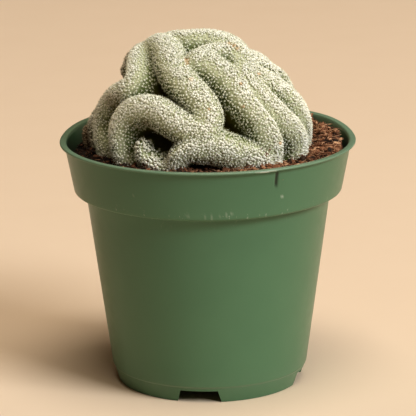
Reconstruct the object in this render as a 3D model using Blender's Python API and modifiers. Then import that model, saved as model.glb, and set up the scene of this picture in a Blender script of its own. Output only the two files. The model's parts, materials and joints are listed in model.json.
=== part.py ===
"""A brain cactus in its nursery pot: the pot, its soil and one crested cactus.

Metres, +Z up. The origin is on the pot's axis at the level it stands on, and -Y is the front.
Azimuth 0 is the front and grows towards +X.
"""
import math
import random
from typing import NamedTuple

import bmesh
import bpy
import numpy as np
from mathutils import Matrix, Vector, noise

MM = 0.001
FIT_GAP = 0.3 * MM

# The pot, a 108 mm thin-walled nursery pot
POT_HEIGHT = 90.0 * MM
POT_SEGMENTS = 72
WALL = 0.9 * MM
CORNER_WALL = 1.0 * MM
LIP_RADIUS = 54.0 * MM
LIP_INNER_RADIUS = 51.8 * MM
LIP_DEPTH = 1.5 * MM
LIP_EASE = 0.4 * MM
COLLAR_TOP_RADIUS = 52.3 * MM
COLLAR_FOOT_RADIUS = 48.95 * MM
COLLAR_FOOT = 71.5 * MM
BODY_TOP_RADIUS = 44.7 * MM
BODY_FOOT_RADIUS = 35.9 * MM
BODY_FOOT = 6.2 * MM
FOOT_STEP = 0.5 * MM
FOOT_RADIUS = 33.8 * MM
FOOT_WIDTH = 1.2 * MM
FLOOR_UNDERSIDE = 4.0 * MM
FLOOR_TOP = 5.2 * MM
NOTCH_COUNT = 4
NOTCH_AZIMUTH = -5.6
NOTCH_HEIGHT = 3.9 * MM
NOTCH_FOOT_WIDTH = 16.4 * MM
NOTCH_TOP_WIDTH = 13.6 * MM
NOTCH_HALF_REACH = 5.0 * MM
CUT_THROUGH = 1.0 * MM
DRAIN_RADIUS = 4.0 * MM
DRAIN_PLACE = 25.0 * MM
DRAIN_SIDES = 16

# The soil
SOIL_TOP = 86.5 * MM
SOIL_LEVEL_RADIUS = 42.0 * MM
SOIL_RADIUS = 49.8 * MM
SOIL_EDGE_DROP = 1.6 * MM
SOIL_SHADE_DROP = 1.6 * MM
SOIL_HEAP = 3.0 * MM
SOIL_HEAP_AZIMUTH = 125.0
SOIL_WALL_GAP = 0.36 * MM
CRUMB = 1.2 * MM
CRUMB_PITCH = 4.5 * MM
CRUMB_ROWS = 7
CRUMB_FADE = 3.0
LEVEL_TOLERANCE = 0.01 * MM

# The cactus
DOME_CENTRE = Vector((-2.5, 0.0, 94.0)) * MM
DOME_AXES = np.array([39.6, 38.9, 35.9]) * MM
FOLD_DEPTH = 12.0 * MM
FOLD_ROUNDNESS = 2.5
FOLD_WALL_START = 0.96
FOLD_WALL_SLOPE = 1.8
FOLD_BLEND = 0.5 * MM
CORE_DEPTH = 14.0 * MM
SIDE_SHARPNESS = 1.2
SPLINE_STEPS = 12
CREST_STEP = 1.0 * MM
TUBERCLE_LATTICE = 2100
TUBERCLE_HEIGHT = 1.0 * MM
TUBERCLE_LOWEST = -20.0
BARE_RING = -50.0
BARE_RING_COUNT = 12
CUT_SNAP = 0.2 * MM
CACTUS_FOOT = SOIL_TOP + FIT_GAP
CROWN_RADIUS = 12.0 * MM
CROWN_TIP_RADIUS = 8.0 * MM
CROWN_DEPTH = 26.0 * MM
CROWN_SUNK = 3.0 * MM
CROWN_SIDES = 16
SPINE_EVERY = 6
SPINE_RADIUS = 0.26 * MM
SPINE_ROOT = 1.3 * MM
SPINE_LENGTH = 1.7 * MM
SPINE_TILT = 0.5
SPINE_CLEARANCE = 2.4 * MM
SEED = 11


class Fold(NamedTuple):
    """One ridge of the crest: its two half widths in mm, left and right of travel, and its route.

    The route is a list of points on the dome: azimuth and elevation in degrees, then where they
    differ from 0 and 1 the crest's lift above the dome in mm and a scale on both half widths.
    """

    left: float
    right: float
    route: list


ROUTE_DEFAULTS = (0.0, 0.0, 0.0, 1.0)
FOLDS = {
    "front_arch": Fold(4.2, 12.4, [
        (-49, -14, 0, 0.8), (-53, -5, 0, 0.8), (-54, 3, 0, 0.8), (-54, 9, 0, 0.85), (-52, 15, 0, 0.9),
        (-48, 20, 0, 0.95), (-42, 23), (-34, 24.5), (-26, 23.5), (-19, 20.5), (-13, 17.5), (-7, 14.5),
        (-1, 12.5), (4, 11.5)]),
    "brow": Fold(5.8, 11.0, [
        (-132, 56, -0.8, 0.8), (-112, 61, 0.2, 0.85), (-90, 66, 0.8, 0.9), (-58.5, 67.5, 0.6, 0.95),
        (-38.5, 62, 0.3), (-27, 55), (-18, 47.5, 0, 0.97), (-11, 42, 0, 0.95), (-4, 36, 0, 0.93),
        (1, 31, 0, 0.92), (4.5, 25.5, 0, 0.95), (6, 20), (5.5, 15), (3.5, 11.5)]),
    "low_front": Fold(5.6, 9.5, [
        (-17, -14, -0.6, 0.6), (-15, -7, -0.3, 0.6), (-13, -3, 0, 0.65), (-10, 0, 0, 0.7),
        (-6.5, 2, 0, 0.85), (-2, 3.5), (3, 4), (8, 3.5), (13, 2), (19, -0.5), (26, -3), (33, -6),
        (39.5, -10), (45, -14)]),
    "low_lobe": Fold(5.5, 11.0, [
        (-32, -1.5, -0.4, 0.65), (-28.5, -1.5, -0.2, 0.9), (-24.5, -2, -0.2), (-21.5, -3.5, -0.4, 0.85)]),
    "shoulder": Fold(4.6, 11.0, [
        (-1, 58.5, -0.5), (7.5, 57), (13.5, 55), (18.5, 50.5), (22.5, 46.5), (25.5, 42.5), (27.5, 38),
        (28.5, 34), (29.5, 29), (32.5, 23.5), (35.5, 18.5), (39, 13), (41.5, 8.5), (43.5, 3.5), (45, -1.5),
        (45, -7), (45, -14)]),
    "saddle": Fold(4.5, 5.0, [
        (-4.5, 61, -1), (4, 63.5, -0.5), (15, 65, -0.2), (27.5, 64.5), (39, 63), (47, 59.5)]),
    "crown": Fold(6.0, 10.0, [
        (-132, 64, -0.8, 0.8), (-115, 71, -0.3, 0.8), (-95, 77, 0, 0.9), (-60, 83), (50, 84, 0.1),
        (57, 77, 0.2), (55, 70, 0.4), (54, 64, 0.4), (52, 58, 0.2), (49, 51.5), (44, 45.5), (38, 42)]),
    "right_inner": Fold(5.0, 8.8, [
        (39, 37), (40.5, 34), (42.5, 30), (44.5, 26.5), (47, 23), (51, 18), (55.5, 13), (62, 7.5),
        (67, 2, 0.2), (70, -3, 0.6), (71, -8, 1, 0.9), (70, -14, 1.2, 0.85)]),
    "right_outer": Fold(8.0, 8.0, [
        (36, 40.5), (45, 40.5), (50.5, 39), (57, 35.5, -0.3), (62.5, 31, -0.5), (68, 26, -0.4),
        (73, 20.5, -0.2), (77, 15), (80, 9.5, 0.1), (83, 4, 0.2), (87, -3, 0.2), (90, -14, 0.2)]),
    "right_top": Fold(5.5, 5.5, [
        (50.5, 51, -0.3), (61, 50.5, -0.5), (67.5, 47.5, -0.7), (73, 43.5, -1), (75.5, 39, -1.3),
        (78, 34.5, -2), (83, 29.5, -3.2), (90, 24, -4.2), (97, 16, -3.6), (103, 8, -2), (106, 0, -0.8),
        (107, -14, -0.6)]),
    "left": Fold(7.6, 3.4, [
        (-112, 51, -1.4, 0.9), (-101, 52.5, 0.2, 0.95), (-89, 51, 0.5), (-76, 47.5, 0.2), (-65, 43.5),
        (-58, 38.5), (-56.5, 34.5), (-61, 30.5), (-67, 26.5), (-73, 21.5, -0.4), (-77, 15, -0.5),
        (-79, 9, -0.5), (-78.5, 4, -0.5), (-76, -1, -0.5), (-71, -8), (-66, -14)]),
    "left_knob": Fold(4.8, 4.8, [
        (-160, 54, -2.5), (-140, 55, -2.5), (-123, 52, -1.8), (-111, 48, -0.8), (-102, 44, -0.2),
        (-96, 40.5, -0.6), (-92.5, 37, -1.6)]),
    "left_rim": Fold(4.2, 4.2, [
        (-90, 14, -2.5), (-94, 9, 0.2), (-96, 4, 1.4), (-96, -2, 1.7), (-94, -8, 1), (-92, -14)]),
    "old_lump": Fold(4.6, 4.6, [(-101, -5, 4), (-100, -10, 4)]),
    "back_left": Fold(6.4, 6.4, [
        (-107, -14), (-109, -2, -0.5), (-113, 8, -2), (-120, 17, -3.5), (-123, 27, -4), (-123, 35, -3.5),
        (-129, 41, -2), (-137, 40, -1), (-140, 31, -1), (-136, 22, -0.5), (-131, 13), (-128, 3),
        (-127, -14)]),
    "back_middle": Fold(6.6, 6.6, [
        (-147, -14), (-148, 0), (-153, 9), (-157, 19), (-156, 30), (-158, 40), (-169, 47), (178, 46),
        (172, 37), (173, 26), (178, 17), (-177, 7), (-173, -3), (-170, -14)]),
    "back_ridge": Fold(6.6, 6.6, [
        (-150, 57), (-168, 61), (170, 62), (152, 57), (147, 48), (150, 38), (153, 28), (159, 18), (163, 8),
        (165, -3), (165, -14)]),
    "back_right": Fold(6.6, 6.6, [
        (145, -14), (145, -2), (141, 8), (136, 18), (132, 28), (129, 38, -1), (125, 47, -2.5),
        (114, 53, -3.5), (104, 51, -3.5), (103, 43, -2.5), (108, 35, -1.5), (114, 26, -0.5), (119, 17),
        (122, 7), (125, -3), (126, -14)]),
}


def material(name, colour, roughness, metallic=0.0):
    """Make a plain Principled material."""
    made = bpy.data.materials.new(name)
    made.use_nodes = True
    shader = made.node_tree.nodes["Principled BSDF"]
    shader.inputs["Base Color"].default_value = (*colour, 1.0)
    shader.inputs["Roughness"].default_value = roughness
    shader.inputs["Metallic"].default_value = metallic
    return made


def collection(name):
    """Make a collection in the scene."""
    made = bpy.data.collections.new(name)
    bpy.context.scene.collection.children.link(made)
    return made


def mesh_object(name, bm, home, finish=None):
    """Turn a bmesh into an object of a collection."""
    mesh = bpy.data.meshes.new(name)
    bm.to_mesh(mesh)
    bm.free()
    made = bpy.data.objects.new(name, mesh)
    home.objects.link(made)
    if finish is not None:
        mesh.materials.append(finish)
    return made


def apply_modifiers(body):
    """Keep the object's evaluated mesh and drop its modifiers."""
    graph = bpy.context.evaluated_depsgraph_get()
    mesh = bpy.data.meshes.new_from_object(body.evaluated_get(graph))
    body.modifiers.clear()
    body.data = mesh


def turned(name, profile, steps, home, finish):
    """Turn a closed or axis-to-axis profile of (radius, height) points round Z."""
    bm = bmesh.new()
    verts = [bm.verts.new((radius, 0.0, height)) for radius, height in profile]
    for first, second in zip(verts, verts[1:]):
        bm.edges.new((first, second))
    body = mesh_object(name, bm, home, finish)
    screw = body.modifiers.new("turn", "SCREW")
    screw.axis = "Z"
    screw.angle = math.tau
    screw.steps = steps
    screw.render_steps = steps
    screw.use_merge_vertices = True
    screw.merge_threshold = 0.00001
    screw.use_normal_calculate = False
    return body


def direction(azimuth, elevation):
    """Unit vectors for azimuths and elevations in degrees."""
    turn, rise = np.broadcast_arrays(np.radians(azimuth), np.radians(elevation))
    return np.stack([np.cos(rise) * np.sin(turn), -np.cos(rise) * np.cos(turn), np.sin(rise)], -1)


def dome_radius(unit):
    """Distance from the dome's centre to its ellipsoid along unit vectors."""
    return 1.0 / np.sqrt(((unit / DOME_AXES) ** 2).sum(-1))


def crest_line(route):
    """Evenly spaced points of a fold's crest on the dome, and the side vector, lift and scale at each.

    A Catmull-Rom spline runs through the route's directions and is put back on the ellipsoid.
    """
    points = np.array([(*point, *ROUTE_DEFAULTS[len(point):]) for point in route])
    through = direction(points[:, 0], points[:, 1])
    through = np.vstack([2 * through[0] - through[1], through, 2 * through[-1] - through[-2]])
    t = np.linspace(0.0, 1.0, SPLINE_STEPS, endpoint=False)[:, None]
    pieces = [
        0.5 * (2 * b + (c - a) * t + (2 * a - 5 * b + 4 * c - d) * t**2 + (3 * b - a - 3 * c + d) * t**3)
        for a, b, c, d in zip(through[:-3], through[1:-2], through[2:-1], through[3:])
    ]
    line = np.vstack(pieces + [through[-2:-1]])
    line /= np.linalg.norm(line, axis=1, keepdims=True)
    line *= dome_radius(line)[:, None]
    knots = np.linspace(0, len(points) - 1, len(line))
    lift = np.interp(knots, np.arange(len(points)), points[:, 2]) * MM
    scale = np.interp(knots, np.arange(len(points)), points[:, 3])
    run = np.concatenate([[0.0], np.cumsum(np.linalg.norm(np.diff(line, axis=0), axis=1))])
    even = np.linspace(0.0, run[-1], max(3, int(run[-1] / CREST_STEP) + 1))
    line = np.stack([np.interp(even, run, line[:, axis]) for axis in range(3)], -1)
    lift = np.interp(even, run, lift)
    scale = np.interp(even, run, scale)
    outward = line / np.linalg.norm(line, axis=1, keepdims=True)
    line = outward * dome_radius(outward)[:, None]
    along = np.gradient(line, axis=0)
    side = np.cross(outward, along)
    side /= np.linalg.norm(side, axis=1, keepdims=True)
    return line, side, lift, scale


def drop_below_dome(unit):
    """How far the folded surface lies below the dome along unit vectors.

    Across a fold the surface falls as a superellipse of the distance from the crest over the half
    width of that side, and past the half width as a steep wall. The shallowest fold wins, with a
    little rounding where two meet.
    """
    on_dome = unit * dome_radius(unit)[:, None]
    drops = []
    for fold in FOLDS.values():
        line, side, lift, scale = crest_line(fold.route)
        square = (on_dome**2).sum(1)[:, None] - 2 * on_dome @ line.T + (line**2).sum(1)
        nearest = square.argmin(1)
        offset = on_dome - line[nearest]
        away = np.linalg.norm(offset, axis=1)
        for shift in (-1, 0):
            start = np.clip(nearest + shift, 0, len(line) - 2)
            run = line[start + 1] - line[start]
            part = np.clip(((on_dome - line[start]) * run).sum(1) / (run**2).sum(1), 0, 1)
            candidate = on_dome - (line[start] + run * part[:, None])
            length = np.linalg.norm(candidate, axis=1)
            closer = length < away
            offset[closer] = candidate[closer]
            away = np.where(closer, length, away)
        leaning = (offset * side[nearest]).sum(1) / np.maximum(away, 1e-9)
        share = 0.5 + 0.5 * np.clip(SIDE_SHARPNESS * leaning, -1, 1)
        width = (fold.right + (fold.left - fold.right) * share) * scale[nearest] * MM
        across = away / width
        near = np.minimum(across, FOLD_WALL_START)
        fall = FOLD_DEPTH * (1 - (1 - near**FOLD_ROUNDNESS) ** (1 / FOLD_ROUNDNESS))
        wall = np.maximum(across - FOLD_WALL_START, 0) * width * FOLD_WALL_SLOPE
        drops.append(fall + wall - lift[nearest])
    drops = np.array(drops)
    least = drops.min(0)
    joined = least - FOLD_BLEND * np.log(np.exp((least - drops) / FOLD_BLEND).sum(0))
    return np.minimum(joined, CORE_DEPTH)


def pot_outside():
    """The pot's outer profile from the lip's top down to the foot's inner edge."""
    return [
        (LIP_RADIUS - LIP_EASE, POT_HEIGHT),
        (LIP_RADIUS, POT_HEIGHT - LIP_EASE),
        (LIP_RADIUS, POT_HEIGHT - LIP_DEPTH + LIP_EASE),
        (LIP_RADIUS - LIP_EASE, POT_HEIGHT - LIP_DEPTH),
        (COLLAR_TOP_RADIUS, POT_HEIGHT - LIP_DEPTH),
        (COLLAR_FOOT_RADIUS, COLLAR_FOOT + WALL),
        (COLLAR_FOOT_RADIUS - WALL, COLLAR_FOOT),
        (BODY_TOP_RADIUS + LIP_EASE, COLLAR_FOOT - LIP_EASE),
        (BODY_TOP_RADIUS, COLLAR_FOOT - WALL),
        (BODY_FOOT_RADIUS, BODY_FOOT),
        (BODY_FOOT_RADIUS - FOOT_STEP, BODY_FOOT - FOOT_STEP),
        (FOOT_RADIUS, 0.0),
        (FOOT_RADIUS - FOOT_WIDTH, 0.0),
    ]


def pot_inside():
    """The pot's inner profile from the floor's corner up to the lip, parallel to the outside."""
    return [
        (BODY_FOOT_RADIUS - CORNER_WALL, FLOOR_TOP),
        (BODY_TOP_RADIUS - WALL, COLLAR_FOOT),
        (COLLAR_FOOT_RADIUS - CORNER_WALL, COLLAR_FOOT + CORNER_WALL),
        (LIP_INNER_RADIUS - LIP_EASE, POT_HEIGHT - LIP_DEPTH),
        (LIP_INNER_RADIUS, POT_HEIGHT - LIP_EASE),
        (LIP_INNER_RADIUS + LIP_EASE, POT_HEIGHT),
    ]


def notch_cutter(azimuth, home):
    """A tapered block across the foot ring, wider at the ground."""
    bm = bmesh.new()
    bmesh.ops.create_cube(bm, size=1.0)
    for vert in bm.verts:
        low = vert.co.z < 0
        half = (NOTCH_FOOT_WIDTH if low else NOTCH_TOP_WIDTH) / 2
        vert.co.x = math.copysign(half, vert.co.x)
        vert.co.y = -FOOT_RADIUS + math.copysign(NOTCH_HALF_REACH, vert.co.y)
        vert.co.z = -CUT_THROUGH if low else NOTCH_HEIGHT
    cutter = mesh_object("notch_cutter", bm, home)
    cutter.matrix_world = Matrix.Rotation(math.radians(azimuth), 4, "Z")
    return cutter


def drain_cutter(azimuth, home):
    """A round hole through the floor behind a notch."""
    bm = bmesh.new()
    bmesh.ops.create_cone(bm, cap_ends=True, segments=DRAIN_SIDES, radius1=DRAIN_RADIUS, radius2=DRAIN_RADIUS,
                          depth=FLOOR_TOP - FLOOR_UNDERSIDE + 2 * CUT_THROUGH)
    bmesh.ops.translate(bm, verts=bm.verts, vec=(0.0, -DRAIN_PLACE, (FLOOR_TOP + FLOOR_UNDERSIDE) / 2))
    cutter = mesh_object("drain_cutter", bm, home)
    cutter.matrix_world = Matrix.Rotation(math.radians(azimuth), 4, "Z")
    return cutter


def make_pot(home, cutters):
    """The nursery pot: a turned wall with a lip, a stepped collar, foot notches and drain holes."""
    profile = [(0.0, FLOOR_TOP), *pot_inside(), *pot_outside(),
               (FOOT_RADIUS - FOOT_WIDTH, FLOOR_UNDERSIDE), (0.0, FLOOR_UNDERSIDE)]
    green = material("pot_plastic", (0.13, 0.23, 0.12), 0.45)
    pot = turned("pot", profile, POT_SEGMENTS, home, green)
    for index in range(NOTCH_COUNT):
        azimuth = NOTCH_AZIMUTH + 360 / NOTCH_COUNT * index
        notch_cutter(azimuth, cutters)
        drain_cutter(azimuth, cutters)
    for cutter in cutters.objects:
        cutter.hide_render = True
        cutter.display_type = "WIRE"
    cut = pot.modifiers.new("openings", "BOOLEAN")
    cut.operation = "DIFFERENCE"
    cut.operand_type = "COLLECTION"
    cut.collection = cutters
    return pot


def soil_height(x, y):
    """Height of the soil's top: level under the cactus, crumbly and lower out to the wall.

    A low heap runs round the back right, highest halfway from the level part to the wall.
    """
    radius = math.hypot(x, y)
    outer = max(0.0, (radius - SOIL_LEVEL_RADIUS) / (SOIL_RADIUS - SOIL_LEVEL_RADIUS))
    shade = max(0.0, -x / SOIL_RADIUS)
    crumb = noise.noise(Vector((x, y, 0.0)) / CRUMB_PITCH)
    drop = outer * (SOIL_EDGE_DROP + SOIL_SHADE_DROP * shade)
    facing = Vector(direction(SOIL_HEAP_AZIMUTH, 0.0)).dot(Vector((x, y, 0.0))) / radius
    heap = SOIL_HEAP * max(0.0, facing) ** 2 * math.sin(math.pi * min(1.0, outer))
    return SOIL_TOP - drop + heap + CRUMB * crumb * min(1.0, CRUMB_FADE * outer)


def make_soil(home):
    """The soil: fills the pot, with a plain hole for the root crown and a crumbly top."""
    bore = CROWN_RADIUS + FIT_GAP
    bore_foot = SOIL_TOP - CROWN_DEPTH - FIT_GAP
    inner = pot_inside()
    wall = [(radius - SOIL_WALL_GAP, height + SOIL_WALL_GAP) for radius, height in inner[:3]]
    rows = np.linspace(SOIL_LEVEL_RADIUS, SOIL_RADIUS, CRUMB_ROWS)
    profile = [(0.0, bore_foot), (bore, bore_foot), (bore, SOIL_TOP), (0.5 * SOIL_LEVEL_RADIUS, SOIL_TOP)]
    profile += [(radius, SOIL_TOP) for radius in rows]
    profile += [*wall[::-1], (0.0, wall[0][1])]
    brown = material("soil", (0.13, 0.06, 0.035), 0.95)
    soil = turned("soil", profile, POT_SEGMENTS, home, brown)
    apply_modifiers(soil)
    for vert in soil.data.vertices:
        radius = math.hypot(vert.co.x, vert.co.y)
        if radius > SOIL_LEVEL_RADIUS and abs(vert.co.z - SOIL_TOP) < LEVEL_TOLERANCE:
            vert.co.z = soil_height(vert.co.x, vert.co.y)
    return soil


def tubercle_directions():
    """Directions of the tubercles, a golden-angle lattice on the dome, with a few bare ones below it."""
    index = np.arange(TUBERCLE_LATTICE) + 0.5
    elevation = np.degrees(np.arcsin(1 - 2 * index / TUBERCLE_LATTICE))
    azimuth = index * 180 * (3 - math.sqrt(5))
    kept = elevation > TUBERCLE_LOWEST
    covered = direction(azimuth[kept], elevation[kept])
    below = direction(np.arange(BARE_RING_COUNT) * 360 / BARE_RING_COUNT, BARE_RING)
    return np.vstack([covered, below, direction([0.0], [-90.0])]), len(covered)


def crest_body():
    """The folded body as a bmesh, covered in tubercles, with the tips' places.

    The directions are joined by their hull, each triangle is poked at its middle and the hull's own
    edges are turned across, which makes every tubercle a six-sided cone in its own cell.
    """
    tips, covered = tubercle_directions()
    bm = bmesh.new()
    for tip in tips:
        bm.verts.new(tip)
    bm.verts.ensure_lookup_table()
    bmesh.ops.convex_hull(bm, input=bm.verts[:])
    own_edges = bm.edges[:]
    bmesh.ops.poke(bm, faces=bm.faces[:])
    bmesh.ops.rotate_edges(bm, edges=own_edges)
    bm.verts.ensure_lookup_table()
    unit = np.array([vert.co[:] for vert in bm.verts])
    unit /= np.linalg.norm(unit, axis=1, keepdims=True)
    radius = dome_radius(unit) - drop_below_dome(unit)
    radius[:covered] += TUBERCLE_HEIGHT
    placed = unit * radius[:, None] + np.array(DOME_CENTRE)
    for vert, place in zip(bm.verts, placed):
        vert.co = place
    return bm, placed[:covered], unit[:covered]


def cut_at_soil(bm):
    """Cut the body flat just above the soil and close it."""
    geometry = bm.verts[:] + bm.edges[:] + bm.faces[:]
    bmesh.ops.bisect_plane(bm, geom=geometry, dist=CUT_SNAP, plane_co=(0.0, 0.0, CACTUS_FOOT),
                           plane_no=(0.0, 0.0, -1.0), clear_outer=True)
    rim = [edge for edge in bm.edges if edge.is_boundary]
    for edge in rim:
        for vert in edge.verts:
            vert.co.z = CACTUS_FOOT
    bmesh.ops.triangle_fill(bm, use_beauty=True, use_dissolve=False, edges=rim)
    bmesh.ops.recalc_face_normals(bm, faces=bm.faces[:])


def add_spines(tips, outward, home):
    """Three-sided needles on every few tubercles, leaning at random, rooted in the tubercle."""
    draw = random.Random(SEED)
    bm = bmesh.new()
    bmesh.ops.create_cone(bm, cap_ends=True, segments=3, radius1=SPINE_RADIUS, radius2=0.0,
                          depth=SPINE_ROOT + SPINE_LENGTH)
    bmesh.ops.translate(bm, verts=bm.verts, vec=(0.0, 0.0, (SPINE_LENGTH - SPINE_ROOT) / 2))
    shape = bpy.data.meshes.new("spine")
    bm.to_mesh(shape)
    bm.free()
    for tip, out in zip(tips[::SPINE_EVERY], outward[::SPINE_EVERY]):
        lean = Vector([draw.uniform(-SPINE_TILT, SPINE_TILT) for _ in range(3)])
        turn = draw.uniform(0, math.tau)
        if tip[2] < CACTUS_FOOT + SPINE_CLEARANCE:
            continue
        heading = (Vector(out) + lean).to_track_quat("Z", "Y").to_matrix().to_4x4()
        spine = bpy.data.objects.new("spine", shape)
        spine.matrix_world = Matrix.Translation(Vector(tip)) @ heading @ Matrix.Rotation(turn, 4, "Z")
        home.objects.link(spine)


def add_root_crown(home):
    """The buried foot of the cactus, a plain tapered plug."""
    bm = bmesh.new()
    bmesh.ops.create_cone(bm, cap_ends=True, segments=CROWN_SIDES, radius1=CROWN_TIP_RADIUS,
                          radius2=CROWN_RADIUS, depth=CROWN_DEPTH + CROWN_SUNK)
    bmesh.ops.translate(bm, verts=bm.verts, vec=(0.0, 0.0, SOIL_TOP + (CROWN_SUNK - CROWN_DEPTH) / 2))
    return mesh_object("root_crown", bm, home)


def make_cactus(home):
    """The crested cactus, one grown piece: folds, tubercles, spines and the buried root crown."""
    bm, tips, outward = crest_body()
    cut_at_soil(bm)
    flesh = material("cactus_flesh", (0.52, 0.55, 0.36), 0.85)
    cactus = mesh_object("cactus", bm, home, flesh)
    grown = collection("grown")
    add_spines(tips, outward, grown)
    add_root_crown(grown)
    join = cactus.modifiers.new("grown", "BOOLEAN")
    join.operation = "UNION"
    join.operand_type = "COLLECTION"
    join.collection = grown
    apply_modifiers(cactus)
    for piece in list(grown.objects):
        bpy.data.objects.remove(piece, do_unlink=True)
    return cactus


def main():
    """Clear the scene and build the three pieces."""
    for old in list(bpy.data.objects):
        bpy.data.objects.remove(old, do_unlink=True)
    home = collection("potted_brain_cactus")
    cutters = collection("cutters")
    make_pot(home, cutters)
    make_soil(home)
    make_cactus(home)


main()
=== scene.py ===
"""The looks of a potted brain cactus: one crested cactus in soil in a green nursery pot.

Metres, +Z up. The origin is on the pot's axis at the level it stands on, and -Y is the front.
Azimuth 0 is the front and grows towards +X. Lengths in the fields of the classes are in
millimetres where their names end in _mm, and angles are in degrees.
"""
import json
import logging
import math
from dataclasses import dataclass, field
from enum import Enum

import bpy
import numpy as np
from mathutils import Matrix, Vector
from numpy.typing import NDArray

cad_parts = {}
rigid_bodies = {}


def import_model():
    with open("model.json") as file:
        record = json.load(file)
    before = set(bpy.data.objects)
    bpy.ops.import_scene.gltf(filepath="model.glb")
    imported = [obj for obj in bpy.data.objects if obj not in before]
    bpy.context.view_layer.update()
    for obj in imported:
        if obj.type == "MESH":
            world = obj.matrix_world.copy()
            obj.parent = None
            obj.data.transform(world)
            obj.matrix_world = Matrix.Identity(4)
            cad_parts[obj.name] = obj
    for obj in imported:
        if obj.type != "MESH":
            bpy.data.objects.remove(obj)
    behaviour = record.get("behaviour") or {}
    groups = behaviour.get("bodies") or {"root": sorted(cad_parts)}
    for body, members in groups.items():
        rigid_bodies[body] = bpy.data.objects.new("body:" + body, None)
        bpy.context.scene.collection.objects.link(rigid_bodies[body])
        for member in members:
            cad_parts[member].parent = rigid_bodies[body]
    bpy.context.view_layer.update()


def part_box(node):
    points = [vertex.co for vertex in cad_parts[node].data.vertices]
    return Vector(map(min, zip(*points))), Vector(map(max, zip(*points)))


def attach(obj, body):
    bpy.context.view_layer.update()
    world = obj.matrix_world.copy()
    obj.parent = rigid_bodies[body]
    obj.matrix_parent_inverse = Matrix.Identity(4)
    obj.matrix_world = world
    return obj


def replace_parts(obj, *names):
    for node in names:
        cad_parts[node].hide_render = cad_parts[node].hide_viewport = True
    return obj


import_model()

Floats = NDArray[np.float64]
Ints = NDArray[np.int64]
Colour = tuple[float, float, float]

log = logging.getLogger("potted_brain_cactus")

MM = 0.001


class Slot(Enum):
    """The material slots of the record."""

    POT = "pot_plastic"
    SOIL = "soil"
    CACTUS = "cactus_flesh"


def direction(azimuth: Floats | float, elevation: Floats | float) -> Floats:
    """Unit vectors from angles: x = cos(el) sin(az), y = -cos(el) cos(az), z = sin(el).

    Args:
        azimuth: Azimuths in degrees, 0 at the front.
        elevation: Elevations in degrees.

    Returns:
        The vectors, with x, y and z on the last axis.
    """
    turn, rise = np.broadcast_arrays(np.radians(azimuth), np.radians(elevation))
    return np.stack([np.cos(rise) * np.sin(turn), -np.cos(rise) * np.cos(turn), np.sin(rise)], -1)


def unit(vectors: Floats) -> Floats:
    """Vectors divided by their lengths.

    Args:
        vectors: Vectors on the last axis.

    Returns:
        The unit vectors.
    """
    return vectors / np.maximum(np.linalg.norm(vectors, axis=-1, keepdims=True), 1e-12)


def smoothstep(low: float, high: float, value: Floats) -> Floats:
    """The cubic ease 3t^2 - 2t^3, with t the clipped share of the way from low to high.

    Args:
        low: Where the ease is 0.
        high: Where the ease is 1.
        value: Values to ease.

    Returns:
        Shares from 0 to 1.
    """
    t = np.clip((value - low) / (high - low), 0.0, 1.0)
    return t * t * (3 - 2 * t)


def lattice_noise(points: Floats, pitch: float, seed: int = 0) -> Floats:
    """Smooth noise: hashed values at the corners of a cubic lattice, blended by smoothsteps.

    Args:
        points: Points, one a row.
        pitch: The lattice's step in the same unit.
        seed: Picks another pattern.

    Returns:
        Noise from -1 to 1 at each point.
    """
    cell = np.floor(points / pitch).astype(np.int64)
    part = points / pitch - cell
    ease = part * part * (3 - 2 * part)
    total = np.zeros(len(points))
    for corner in np.ndindex(2, 2, 2):
        at = cell + np.array(corner)
        key = at[:, 0] * 73856093 ^ at[:, 1] * 19349663 ^ at[:, 2] * 83492791 ^ (seed + 1) * 2654435
        key = (key ^ (key >> 13)) * 1274126177 & 0x7FFFFFFF
        key = (key ^ (key >> 15)) * 668265263 & 0x7FFFFFFF
        value = (key >> 7 & 0xFFFF) / 0x7FFF - 1
        total += value * np.prod(np.where(corner, ease, 1 - ease), axis=1)
    return total


def octave_noise(points: Floats, pitch: float, octaves: int, seed: int) -> Floats:
    """Noise of several octaves, each half as high and half as wide as the one before.

    Args:
        points: Points, one a row.
        pitch: The first octave's lattice step.
        octaves: How many octaves are added.
        seed: Picks another pattern.

    Returns:
        The sum at each point.
    """
    return sum(lattice_noise(points, pitch / 2**k, seed + k) / 2**k for k in range(octaves))


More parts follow.
